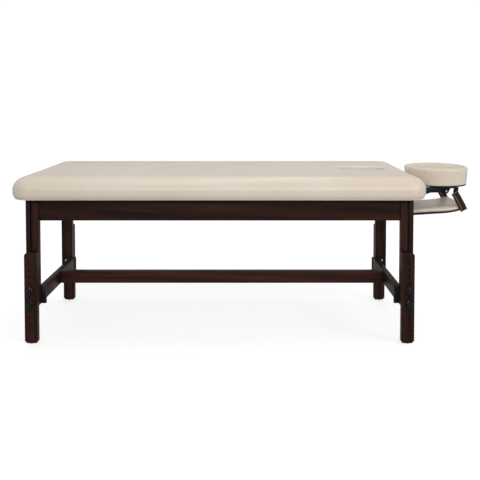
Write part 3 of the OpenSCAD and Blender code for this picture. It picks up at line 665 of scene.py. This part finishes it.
def rollPoints(within, steps, pleat=0.0, loss=0.0):
    # (inset, height, how strongly the corner pleats show) over the roll
    points = []
    for i, a in enumerate(quarterTurn(steps), 1):
        height = topHeight - top["crown"] - within - top["rollHeight"] * (1 - math.sin(a))
        points.append((within + top["rollWidth"] * (1 - math.cos(a)), height, max(0, pleat - i * loss)))
    return points


def edgeProfile():
    # the same three values from the lip up to the roll's upper end
    low = frameTop - top["lipDrop"]
    p = [(top["beadInset"] + top["lipReach"] * share, low, 0.0) for share in top["lipShares"]]
    b = top["beadRadius"]
    for angle in range(-90, 90, top["beadStep"]):
        a = math.radians(angle)
        p.append((top["beadInset"] - b * math.cos(a), low + b + b * math.sin(a), top["beadPleat"]))
    groove = low + 2 * b + top["grooveLift"]
    p.append((top["grooveInset"], groove, top["groovePleat"]))
    for i, a in enumerate(quarterTurn(top["lowerSteps"]), 1):
        height = groove + top["lowerLift"] + top["lowerHeight"] * (1 - math.cos(a))
        p.append((top["lowerInset"] * (1 - math.sin(a)), height, 1.0 - i * top["lowerPleatLoss"]))
    side = groove + top["lowerHeight"]
    rollLow = topHeight - top["crown"] - top["rollHeight"]
    for share in top["sideShares"]:
        p.append((0, side + (rollLow - side) * share, top["sidePleat"] - share * top["sidePleatLoss"]))
    return p + rollPoints(0, top["rollSteps"], top["rollPleat"], top["rollPleatLoss"])


def crownAt(x, y):
    # height of the crowned top over the roll's upper end, level in its middle
    reach = halfWidth - top["rollWidth"]
    dx = clamp((halfLength - top["rollWidth"] - abs(x)) / reach)
    dy = clamp((reach - abs(y)) / reach)
    return top["crown"] * (1 - (1 - min(dx, dy)) ** top["crownPower"])


def holePoint(angle, grow):
    # the face hole's outline in the given direction from its middle
    r = top["holeWidth"] / 2 + grow
    half = (top["holeLength"] - top["holeWidth"]) / 2
    c, s = math.cos(angle), math.sin(angle)
    if abs(s) > 1e-9 and abs(c / s) * r <= half:
        return Vector((r * c / abs(s), math.copysign(r, s), 0))
    side = math.copysign(half, c)
    root = side * c + math.sqrt(max(0.0, (side * c) ** 2 - (half * half - r * r)))
    return Vector((root * c, root * s, 0))


def edgeRing(inset, z, pleat):
    # one outline of the edge with its pleats, and each point's painted shade, in the pleats and towards the
    # bottom of the edge
    ring, marks = [], []
    long, wide, skew = top["wavePitch"]
    under = max(0.0, 1 - (z - frameTop) / top["shadeReach"])
    for x, y, turn in topOutline(inset):
        out = Vector((x, y, 0)).normalized()
        depth = 0.0
        if turn >= 0 and pleat > 0:
            for at, lean, strength in top["pleats"]:
                off = (turn - at - lean * (z - frameTop) * 1000) / top["pleatWidth"]
                depth += strength * math.exp(-off * off)
        wave = top["wave"] * pleat * math.sin(abs(x) * long) * math.sin(abs(y) * wide + x * skew)
        ring.append(Vector((x, y, z)) - out * (top["pleatDepth"] * pleat * depth - wave))
        marks.append(min(1.0, depth * pleat * top["pleatShade"] + top["lowShade"] * under))
    return ring, marks


def crownRings(outer, rim, level):
    # from the roll's upper end to the hole's rim, where the top dips a little
    rings = []
    for j in range(1, top["crownSteps"] + 1):
        t = j / top["crownSteps"]
        t = t * t * (3 - 2 * t) * 0.5 + t * 0.5
        ring = []
        for start, edge in zip(outer, rim):
            spot = start.lerp(edge, t)
            dip = top["rimDip"] * math.exp(-(spot - edge).length / top["dipReach"])
            wander = Vector((spot.x * top["rippleScale"], spot.y * top["rippleScale"], 2.0))
            ripple = top["ripple"] * noise.noise(wander) * min(1, j / top["rippleStart"])
            ring.append(spot + Vector((0, 0, level + crownAt(spot.x, spot.y) - dip + ripple)))
        rings.append((ring, [0.0] * len(ring)))
    return rings


def holeRings(middle, hole, rimHeights, wallEnd):
    # the hole's rounded rim and its wall, with painted shade at the hole's two ends and deeper down the wall
    rings = []
    radius = top["rimRadius"]
    dark = [top["endShade"] * abs(away.x / away.length) ** top["endPower"] for away in hole]
    for j, a in enumerate(quarterTurn(top["rimSteps"]), 1):
        ring = []
        for away, z in zip(hole, rimHeights):
            edge = middle + away + away.normalized() * radius * (1 - math.sin(a))
            ring.append(edge + Vector((0, 0, z - radius * (1 - math.cos(a)))))
        rings.append((ring, [shade * (j / top["rimSteps"]) ** 2 for shade in dark]))
    for j in range(1, top["wallSteps"] + 1):
        t = j / top["wallSteps"]
        belly = math.sin(math.pi * t)
        ring = []
        for k, (away, z) in enumerate(zip(hole, rimHeights)):
            fold = (top["wallFold"] + top["wallWave"] * math.sin(k * top["wallPitch"])) * belly
            low = Vector((0, 0, z - radius + (wallEnd - z + radius) * t))
            ring.append(middle + away + away.normalized() * fold + low)
        rings.append((ring, [max(top["wallShade"] * t * t, shade) for shade in dark]))
    return rings


# points of the padded top, the number of its rings, and each point's painted shade
def topRings(profile, within, wallEnd):
    middle = Vector((halfLength - top["holeFromEnd"], 0, 0))
    outer = [Vector((x, y, 0)) for x, y, _ in topOutline(top["rollWidth"] + within)]
    hole = []
    for point in outer:
        toward = point - middle
        hole.append(holePoint(math.atan2(toward.y, toward.x), within))
    rim = [middle + away + away.normalized() * top["rimRadius"] for away in hole]
    rings = [edgeRing(*row) for row in profile]
    rings += crownRings(outer, rim, topHeight - top["crown"] - within)
    rings += holeRings(middle, hole, [p.z for p in rings[-1][0]], wallEnd)
    shift = Vector((midX, 0, 0))
    vertices = [p + shift for ring, _ in rings for p in ring]
    return vertices, len(rings), [mark for _, marks in rings for mark in marks]


# each point's painted shade goes on the mesh, for the vinyl's colour to read
def markPaintedShade(piece, values):
    mark = piece.data.attributes.new("paintedShadeAndGrain", "FLOAT", "POINT")
    mark.data.foreach_set("value", values)


def makeTop(finishes):
    vertices, count, paintedShades = topRings(edgeProfile(), 0, frameTop + top["wallLift"])
    piece = addPiece("top_vinyl", vertices, ringFaces(count, len(vertices) // count), finishes["vinyl"])
    markPaintedShade(piece, paintedShades)
    addModifier(piece, "SOLIDIFY", thickness=top["thickness"], offset=-1)
    applyModifiers(piece)
    standFor(piece, "top_cover")


# foam under the vinyl, from the deck up, closed underneath
foam = {"within": 3 * mm, "lowInset": 8 * mm, "lowShare": 0.4, "lowHeight": 8 * mm, "lift": 0.4 * mm,
        "rollSteps": 8}


def makeFoam(finishes):
    t = foam["within"]
    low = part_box("foam_core")[0].z + foam["lift"]
    rollLow = topHeight - top["crown"] - top["rollHeight"]
    profile = [(t + foam["lowInset"], low, 0),
               (t + foam["lowInset"] * foam["lowShare"], low + foam["lowHeight"], 0), (t, rollLow, 0)]
    vertices, count, _ = topRings(profile + rollPoints(t, foam["rollSteps"]), t, low)
    around = len(vertices) // count
    faces = ringFaces(count, around)
    last = (count - 1) * around
    for i in range(around):
        j = (i + 1) % around
        faces.append((last + i, last + j, j, i))
    piece = closedPiece("foam_pad", vertices, faces, finishes["foam"])
    standFor(piece, "foam_core")


# cloth: a padded form swells under pressure, its movement is capped, and the result is a plain mesh

cloth = {"frames": 20,
         "settings": {"use_pressure": True, "quality": 6, "tension_stiffness": 40,
                      "compression_stiffness": 40, "shear_stiffness": 20, "bending_stiffness": 2.0}}


def swell(piece, sizes):
    addModifier(piece, "REMESH", mode="VOXEL", voxel_size=sizes["voxel"])
    applyModifiers(piece)
    before = [v.co.copy() for v in piece.data.vertices]
    fabric = addModifier(piece, "CLOTH")
    setAll(fabric.settings, cloth["settings"])
    fabric.settings.uniform_pressure_force = sizes["pressure"]
    fabric.settings.effector_weights.gravity = 0
    fabric.collision_settings.use_collision = False
    for number in range(1, cloth["frames"] + 1):
        scene.frame_set(number)
    applyModifiers(piece)
    scene.frame_set(1)
    for vertex, old in zip(piece.data.vertices, before):
        step = vertex.co - old
        if step.length > sizes["cap"]:
            vertex.co = old + step * (sizes["cap"] / step.length)


def subdivide(piece):
    addModifier(piece, "SUBSURF", levels=1, render_levels=1)
    applyModifiers(piece)
    smooth(piece.data)


# moves a piece's points so that it fills the box from low to high
def fillBox(piece, low, high):
    points = [v.co for v in piece.data.vertices]
    for axis in range(3):
        least, most = min(p[axis] for p in points), max(p[axis] for p in points)
        for p in points:
            p[axis] = low[axis] + (p[axis] - least) * (high[axis] - low[axis]) / (most - least)


# crescent pad on the cradle: folds have their angle in degrees, their lean and their depth's share

crescentLow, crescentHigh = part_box("face_cushion")
crescent = {"ringWidth": 88 * mm, "length": 293 * mm, "shorter": 8 * mm, "openEnd": 6 * mm, "gap": 64 * mm,
            "sectionSteps": 40, "sweepSteps": 96, "tipSteps": 12, "tipShare": 0.15, "tipStart": 0.90,
            "tipPower": 4, "round": 0.13, "swellRoom": 2 * mm, "voxel": 4 * mm, "pressure": 4, "cap": 3 * mm,
            "dish": 13 * mm, "dishFrom": 20 * mm, "dishTo": -38 * mm, "dishPower": 1.2,
            "rimDrop": 9 * mm, "rimFrom": 31 * mm, "rimTo": 12 * mm, "dropFrom": 0.3,
            "innerShade": 0.55, "rimShare": 0.45, "dishShare": 0.55, "shadeRise": 1.6,
            "taper": 6 * mm, "taperPower": 1.4, "hang": 5 * mm, "hangFrom": 19 * mm, "hangPower": 1.5,
            "hangLoss": 1.6, "ripple": 0.5 * mm, "rippleScale": (24, 24, 42), "foldDepth": 1.1,
            "foldWidth": 2.2, "foldTilt": 30, "foldFrom": 0.3, "foldPower": 0.8, "foldShade": 0.22,
            "folds": ((-131, 0.9, 0.9), (-119, 0.5, 0.8), (-104, 1.1, 0.5), (-70, 0.6, 0.35),
                      (-36, 0.8, 0.45), (24, 0.4, 0.4), (72, 0.6, 0.5), (118, 0.7, 0.9))}
crescentHigh.x -= crescent["shorter"]
crescentLow.x = crescentHigh.x - crescent["length"]
crescentX = crescentHigh.x - (crescent["length"] + crescent["openEnd"]) / 2
crescentAx = (crescent["length"] + crescent["openEnd"]) / 2 - crescent["ringWidth"] / 2
crescentAy = (crescentHigh.y - crescentLow.y) / 2 - crescent["ringWidth"] / 2


def crescentPoint(angle, across, height):
    a = math.radians(angle)
    x = crescentX + (crescentAx + across) * math.cos(a)
    return Vector((x, (crescentAy + across) * math.sin(a), height))


def crescentStations():
    # (angle, size) from one tip to the other, the size falling at the tips
    full = 180 - math.degrees(math.asin(crescent["gap"] / 2 / crescentAy))
    tip = math.degrees(crescent["ringWidth"] * crescent["tipShare"] / crescentAy)
    bluntness = 1 - crescent["tipStart"] ** 2
    ends = []
    for j in range(crescent["tipSteps"]):
        s = j / crescent["tipSteps"]
        ends.append((full - tip * s, math.sqrt(1 - (1 - s) ** crescent["tipPower"] * bluntness)))
    steps = crescent["sweepSteps"]
    middle = [((full - tip) * (1 - 2 * j / steps), 1.0) for j in range(steps + 1)]
    return ends + middle + [(-angle, size) for angle, size in reversed(ends)]


def crescentFold(x, y, t):
    # slanting folds in the vinyl round the pad's wall, deepest at mid-height
    angle = math.degrees(math.atan2(y, x - crescentX))
    depth = 0.0
    for at, lean, strength in crescent["folds"]:
        off = (angle - at - crescent["foldTilt"] * lean * (t - 0.5)) / crescent["foldWidth"]
        depth += strength * math.exp(-off * off) * math.sin(math.pi * clamp(t)) ** crescent["foldPower"]
    return depth


def shapeCrescent(piece):
    # folds and ripples, a hanging outer rim and a dished top, all by how far across the ring a point lies,
    # with painted shade in the folds and from the rim in over the dished top
    c = crescent
    paintedShades = []
    for vertex in piece.data.vertices:
        x, y, z = vertex.co
        out = Vector((x - crescentX, y, 0))
        angle = math.degrees(math.atan2(y / crescentAy, (x - crescentX) / crescentAx))
        middle = crescentPoint(angle, 0, z)
        across = out.length - math.hypot(middle.x - crescentX, middle.y)
        t = (z - crescentLow.z) / (crescentHigh.z - crescentLow.z)
        edge = clamp((across - c["ringWidth"] / 2 + c["hangFrom"]) / c["hangFrom"])
        fold = crescentFold(x, y, t) if across > c["ringWidth"] * c["foldFrom"] else 0.0
        wander = Vector([value * scale for value, scale in zip((x, y, z), c["rippleScale"])])
        ripple = c["ripple"] * noise.noise(wander)
        drawn = edge * c["taper"] * (1 - t) ** c["taperPower"]
        vertex.co -= out.normalized() * (fold * c["foldDepth"] * mm - min(0, ripple) + drawn)
        vertex.co.z -= c["hang"] * edge ** c["hangPower"] * max(0.0, 1 - t * c["hangLoss"])
        inward = clamp((across - c["dishFrom"]) / (c["dishTo"] - c["dishFrom"]))
        rim = clamp((across - c["rimFrom"]) / (c["rimTo"] - c["rimFrom"]))
        drop = c["rimDrop"] * rim * rim * (3 - 2 * rim) + c["dish"] * inward ** c["dishPower"]
        vertex.co.z -= drop * max(0.0, t - c["dropFrom"]) / (1 - c["dropFrom"])
        # painted shade from the rim inwards over the dish, less low on the pad, and in the folds
        shade = c["innerShade"] * (c["rimShare"] * rim + c["dishShare"] * inward)
        paintedShades.append(min(1.0, fold * c["foldShade"] + shade * min(1, t * c["shadeRise"])))
    markPaintedShade(piece, paintedShades)


def makeCrescent(finishes):
    halfW = crescent["ringWidth"] / 2 - crescent["swellRoom"]
    halfH = (crescentHigh.z - crescentLow.z) / 2 - crescent["swellRoom"]
    midZ = (crescentHigh.z + crescentLow.z) / 2
    stations = crescentStations()
    vertices = []
    for angle, size in stations:
        for a in fullTurn(crescent["sectionSteps"]):
            w = halfW * size * squareOff(math.cos(a), crescent["round"])
            h = halfH * (0.5 + 0.5 * size) * squareOff(math.sin(a), crescent["round"])
            vertices.append(crescentPoint(angle, w, midZ + h))
    faces = ringFaces(len(stations), crescent["sectionSteps"], caps=True)
    piece = closedPiece("crescent_pad", vertices, faces, finishes["vinyl"])
    swell(piece, crescent)
    subdivide(piece)
    fillBox(piece, crescentLow, crescentHigh)
    shapeCrescent(piece)
    standFor(piece, "face_cushion")
    makeWelts(piece, finishes)


# sewn welts: open tubes along the pad's rims, narrower at their ends, some degrees short of its tips

welts = {"radius": 1.9 * mm, "sides": 8, "steps": 150, "reach": 4 * mm, "short": 4, "end": 0.45, "sunk": 0.5}


def tubePiece(name, route, material):
    vertices = []
    last = len(route) - 1
    for j, point in enumerate(route):
        ahead = route[min(j + 1, last)] - route[max(j - 1, 0)]
        side = ahead.cross(Vector((0, 0, 1))).normalized()
        up = side.cross(ahead).normalized()
        width = welts["end"] if j in (0, last) else 1
        for a in fullTurn(welts["sides"]):
            vertices.append(point + (side * math.cos(a) + up * math.sin(a)) * welts["radius"] * width)
    return closedPiece(name, vertices, ringFaces(len(route), welts["sides"], caps=True), material)


def makeWelts(pad, finishes):
    # each lies on the pad's surface where that is nearest to a route just outside it
    surface = BVHTree.FromPolygons([v.co for v in pad.data.vertices], [p.vertices for p in pad.data.polygons])
    off = welts["reach"]
    steps = welts["steps"]
    reach = crescentStations()[0][0] - welts["short"]
    for name, side, level in (("outer", 1, crescentHigh.z + off), ("inner", -1, crescentHigh.z + off),
                              ("lower", 1, crescentLow.z - off)):
        route = []
        for j in range(steps + 1):
            edge = crescentPoint(reach * (1 - 2 * j / steps), side * (crescent["ringWidth"] / 2 + off), level)
            hit, normal = surface.find_nearest(edge)[:2]
            route.append(hit - normal * welts["radius"] * welts["sunk"])
        settle(tubePiece(f"crescent_welt_{name}", route, finishes["vinyl"]), "cradle_head")


# black loop fabric that covers the cushion's underside, a little smaller than the cushion

base = {"inset": 7 * mm, "drop": 5.4 * mm, "rise": 1.2 * mm, "bulge": 1 * mm, "sharpAngle": 40}


def makeCrescentBase(finishes):
    low, high = crescentLow.z - base["drop"], crescentLow.z + base["rise"]
    points = []
    for angle, size in crescentStations():
        w = (crescent["ringWidth"] / 2 - base["inset"]) * size
        section = ((-w, low), (w, low), (w + base["bulge"], (low + high) / 2), (w, high), (-w, high))
        points += [crescentPoint(angle, across, z) for across, z in section]
    faces = ringFaces(len(points) // 5, 5, caps=True)
    piece = closedPiece("crescent_base", points, faces, finishes["hook_tape"])
    sharpen(piece.data, base["sharpAngle"])
    settle(piece, "cradle_head")


# arm shelf pad

shelfLow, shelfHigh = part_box("arm_shelf_board")
padLow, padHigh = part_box("arm_shelf_pad")
shelf = {"thickness": 17 * mm, "board": 7 * mm, "gap": 0.3 * mm, "slope": 0.0612, "bendShare": 0.6,
         "bendRadius": 370 * mm, "steps": 40, "sectionSteps": 36, "room": 1.5 * mm, "endSize": 0.55,
         "endGain": 0.45, "endRise": 7, "endPower": 0.5, "endWidth": 0.975,
         "sideRound": 0.22, "topRound": 0.4, "voxel": 3.5 * mm, "pressure": 3, "cap": 3 * mm,
         "seamAt": 0.12, "seamShade": 0.35}


def shelfHeight(x):
    start = shelfLow.x
    bend = start + shelf["bendShare"] * (shelfHigh.x - start)
    return shelfLow.z + shelf["slope"] * (x - start) + (max(0, x - bend) ** 2) / (2 * shelf["bendRadius"])


def makeShelfPad(finishes):
    half = (padHigh.y - padLow.y) / 2 - shelf["room"]
    length = shelfHigh.x - shelfLow.x - 2 * shelf["room"]
    vertices = []
    for j in range(shelf["steps"] + 1):
        t = j / shelf["steps"]
        x = shelfLow.x + shelf["room"] + length * t
        rise = min(1.0, math.sin(math.pi * t) * shelf["endRise"]) ** shelf["endPower"]
        size = shelf["endSize"] + shelf["endGain"] * rise
        reach = half * (shelf["endWidth"] + (1 - shelf["endWidth"]) * size)
        middle = shelfHeight(x) + shelf["board"] + shelf["gap"] + shelf["thickness"] / 2
        for a in fullTurn(shelf["sectionSteps"]):
            z = middle + shelf["thickness"] / 2 * size * squareOff(math.sin(a), shelf["topRound"])
            vertices.append((x, -reach * squareOff(math.cos(a), shelf["sideRound"]), z))
    faces = ringFaces(shelf["steps"] + 1, shelf["sectionSteps"], caps=True)
    piece = closedPiece("arm_shelf_vinyl", vertices, faces, finishes["vinyl"])
    swell(piece, shelf)
    subdivide(piece)
    paintedShades = []
    for vertex in piece.data.vertices:
        floorZ = shelfHeight(vertex.co.x) + shelf["board"] + shelf["gap"]
        up = (vertex.co.z - floorZ) / shelf["thickness"]
        vertex.co.y = max(padLow.y, min(padHigh.y, vertex.co.y))
        vertex.co.z = max(vertex.co.z, floorZ)
        # painted shade in a narrow band low round the pad
        paintedShades.append(shelf["seamShade"] * max(0.0, 1 - abs(up - shelf["seamAt"]) / shelf["seamAt"]))
    markPaintedShade(piece, paintedShades)
    standFor(piece, "arm_shelf_pad")


# repeated pieces: rods laid end to end along closed loops, each a little askew

rodShape = {"sides": 10, "sharpAngle": 40}


def rodTree():
    tree = bpy.data.node_groups.new("rodsAlongPath", "GeometryNodeTree")
    kinds = {"Path": "Geometry", "Spacing": "Float", "Length": "Float", "Thickness": "Float",
             "Askew": "Float", "Seed": "Int", "Material": "Material"}
    for name, kind in kinds.items():
        tree.interface.new_socket(name, in_out="INPUT", socket_type="NodeSocket" + kind)
    tree.interface.new_socket("Rods", in_out="OUTPUT", socket_type="NodeSocketGeometry")
    g = NodeTree(tree, tree.nodes.new("NodeGroupOutput"))
    path = g.node("NodeGroupInput", output="Path")
    given = {name: path.output(name) for name in kinds}
    curve = g.node("GeometryNodeMeshToCurve", {}, {"Mesh": path})
    points = g.node("GeometryNodeCurveToPoints", {"mode": "LENGTH"},
                    {"Curve": curve, "Length": given["Spacing"]})
    rod = g.node("GeometryNodeMeshCylinder", {}, {"Vertices": rodShape["sides"], "Depth": given["Length"],
                                                  "Radius": given["Thickness"] * 0.5})
    flat = g.node("GeometryNodeTransform", {}, {"Geometry": rod, "Rotation": (0, math.pi / 2, 0)})
    along = g.node("FunctionNodeAlignRotationToVector", {"axis": "X"}, {"Vector": points.output("Tangent")})
    chance = g.node("FunctionNodeRandomValue", {"data_type": "FLOAT"},
                    {2: given["Askew"] * -1, 3: given["Askew"], "Seed": given["Seed"]}, 1)
    swing = g.node("FunctionNodeAxisAngleToRotation", {}, {"Axis": (0, 0, 1), "Angle": chance})
    turned = g.node("FunctionNodeRotateRotation", {}, {"Rotation": along, "Rotate By": swing})
    placed = g.node("GeometryNodeInstanceOnPoints", {},
                    {"Points": points, "Instance": flat, "Rotation": turned})
    real = g.node("GeometryNodeRealizeInstances", {}, {"Geometry": placed})
    g.feed(0, g.node("GeometryNodeSetMaterial", {}, {"Geometry": real, "Material": given["Material"]}))
    return tree


def rodPiece(name, loops, sizes, material, tree):
    vertices, edges = [], []
    for loop in loops:
        first, count = len(vertices), len(loop)
        vertices += [tuple(p) for p in loop]
        edges += [(first + i, first + (i + 1) % count) for i in range(count)]
    guide = bpy.data.meshes.new(name + "_path")
    guide.from_pydata(vertices, edges, [])
    holder = addObject(name + "_path", guide)
    rods = holder.modifiers.new("rods", "NODES")
    rods.node_group = tree
    identifiers = {item.name: item.identifier for item in tree.interface.items_tree if item.in_out == "INPUT"}
    for key, value in {**sizes, "Material": material}.items():
        rods[identifiers[key]] = value
    mesh = evaluatedMesh(holder)
    bpy.data.objects.remove(holder)
    sharpen(mesh, rodShape["sharpAngle"])
    return addObject(name, mesh)


# adds the mesh of one piece to another, each keeping its material
def joinInto(piece, other):
    work = bmesh.new()
    work.from_mesh(piece.data)
    before = len(work.faces)
    work.from_mesh(other.data)
    work.faces.ensure_lookup_table()
    for face in work.faces[before:]:
        face.material_index = 1
    work.to_mesh(piece.data)
    work.free()
    piece.data.materials.append(other.data.materials[0])
    bpy.data.objects.remove(other)


# webbing straps with stitched ends

strap = {"width": 35.5 * mm, "thickness": 2 * mm, "steps": 40, "across": 10, "innerWidth": 26 * mm,
         "past": 9.5 * mm, "edge": 0.45 * mm, "bow": 0.5 * mm, "fromEnd": 12 * mm, "armY": 116 * mm,
         "bandTop": 13.3 * mm, "stitchIn": 3 * mm, "boxLength": 26 * mm, "boxFrom": 2 * mm, "boxDrop": 4 * mm,
         "boxSteps": 12, "stitchWidth": 0.55 * mm, "stitchLift": 0.1, "tailSteps": 12, "bandSteps": 34}
stitches = {"Spacing": 3.6 * mm, "Length": 2.6 * mm, "Thickness": strap["stitchWidth"], "Askew": 0.06,
            "Seed": 11}


def stripPiece(name, route, wide, width, material):
    # a flat strip along a route, whose width lies in the direction that wide gives
    last = len(route) - 1
    vertices, uvs = [], []
    run = 0.0
    for j, point in enumerate(route):
        ahead = (route[min(j + 1, last)] - route[max(j - 1, 0)]).normalized()
        if j:
            run += (point - route[j - 1]).length
        across = (wide - ahead * wide.dot(ahead)).normalized()
        for i in range(strap["across"] + 1):
            t = i / strap["across"] - 0.5
            vertices.append(point + across * width * t)
            uvs.append((run, width * t))
    piece = addPiece(name, vertices, ringFaces(len(route), strap["across"] + 1, closed=False), material)
    layer = piece.data.uv_layers.new(name="strip")
    for loop in piece.data.loops:
        layer.data[loop.index].uv = uvs[loop.vertex_index]
    addModifier(piece, "SOLIDIFY", thickness=strap["thickness"], offset=0)
    addModifier(piece, "BEVEL", width=strap["edge"], segments=2)
    applyModifiers(piece)
    return piece


# a stitched box on a strap's outer face, from start to end along it
def stitchBox(start, end, wide, out, width):
    half = wide.normalized() * (width / 2 - strap["stitchIn"])
    lift = out.normalized() * (strap["thickness"] / 2 + strap["stitchWidth"] * strap["stitchLift"])
    turns = [start - half + lift, end - half + lift, end + half + lift, start + half + lift]
    steps = strap["boxSteps"]
    return [a.lerp(b, i / steps) for a, b in zip(turns, turns[1:] + turns[:1]) for i in range(steps)]


def strapPiece(name, route, wide, width, side, boxes, finishes, tree):
    piece = stripPiece(name, route, wide, width, finishes["webbing"])
    loops = [stitchBox(start, end, wide, Vector((0, side, 0)), width) for start, end in boxes]
    joinInto(piece, rodPiece(name + "_stitches", loops, stitches, finishes["thread"], tree))
    return piece


def makeOuterStraps(finishes, tree):
    # from the tilt brackets' snaps down to the shelf's end
    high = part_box("outer_straps")[1]
    snapLow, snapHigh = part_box("upper_snaps")
    shelfEnd = shelfHigh.x - strap["fromEnd"]
    for side, name in ((-1, "near"), (1, "far")):
        y = side * (high.y - strap["thickness"] / 2)
        upper = Vector(((snapLow.x + snapHigh.x) / 2, y, (snapLow.z + snapHigh.z) / 2))
        lower = Vector((shelfEnd, y, shelfHeight(shelfEnd) + shelf["board"] / 2))
        along = (lower - upper).normalized()
        first, last = upper - along * strap["past"], lower + along * strap["past"]
        route = [first.lerp(last, j / strap["steps"]) for j in range(strap["steps"] + 1)]
        for j, point in enumerate(route):
            point.y += side * strap["bow"] * math.sin(math.pi * j / strap["steps"])
        near, far = along * strap["boxFrom"], along * strap["boxLength"]
        boxes = [(first + near, first + far), (last - near, last - far)]
        piece = strapPiece(f"outer_strap_{name}", route, along.cross(Vector((0, 1, 0))), strap["width"], side,
                           boxes, finishes, tree)
        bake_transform(piece)
        if name == "near":
            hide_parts("outer_straps")    # stands for both straps of the node


def makeInnerStraps(finishes, tree):
    # up from the shelf and round the arm
    low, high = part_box("inner_straps")
    x = (low.x + high.x) / 2
    for side, name in ((-1, "near"), (1, "far")):
        y = side * (high.y - strap["thickness"] / 2)
        centre = Vector((x, side * strap["armY"], high.z - strap["bandTop"]))
        r = abs(y) - strap["armY"]
        steps = strap["tailSteps"]
        route = [Vector((x, y, low.z + (centre.z - low.z) * j / steps)) for j in range(steps)]
        for a in fullTurn(strap["bandSteps"])[:-1]:
            route.append(centre + Vector((0, side * r * math.cos(a), r * math.sin(a))))
        start = Vector((x, y, centre.z - strap["boxDrop"]))
        boxes = [(start, start - Vector((0, 0, strap["boxLength"])))]
        piece = strapPiece(f"inner_strap_{name}", route, Vector((1, 0, 0)), strap["innerWidth"], side, boxes,
                           finishes, tree)
        settle(piece, "cradle_frame")
        if name == "near":
            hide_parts("inner_straps")    # stands for both straps of the node


# staples that hold the vinyl under the deck, all round its edge

staples = {"inset": 40 * mm, "below": 0.3 * mm}
staple = {"Spacing": 38 * mm, "Length": 11 * mm, "Thickness": 1.1 * mm, "Askew": 0.12, "Seed": 5}


def makeStaples(finishes, tree):
    z = frameTop - top["lipDrop"] - staples["below"]
    route = [Vector((x + midX, y, z)) for x, y, _ in topOutline(staples["inset"])]
    piece = rodPiece("cover_staples", [route], staple, finishes["zinc_steel"], tree)
    settle(piece, "frame")


finishes = makeFinishes()
makeCamera()
makeStudio()
print("studio and finishes made")
makeBoards(finishes)
makeHardware(finishes)
makeKnobs(finishes)
print("boards, hardware and knobs made")
makeTop(finishes)
makeFoam(finishes)
print("padded top made")
makeCrescent(finishes)
makeCrescentBase(finishes)
makeShelfPad(finishes)
print("pads made")
rods = rodTree()
makeOuterStraps(finishes, rods)
makeInnerStraps(finishes, rods)
makeStaples(finishes, rods)
dressRest(finishes)
print("straps and staples made and the rest dressed")
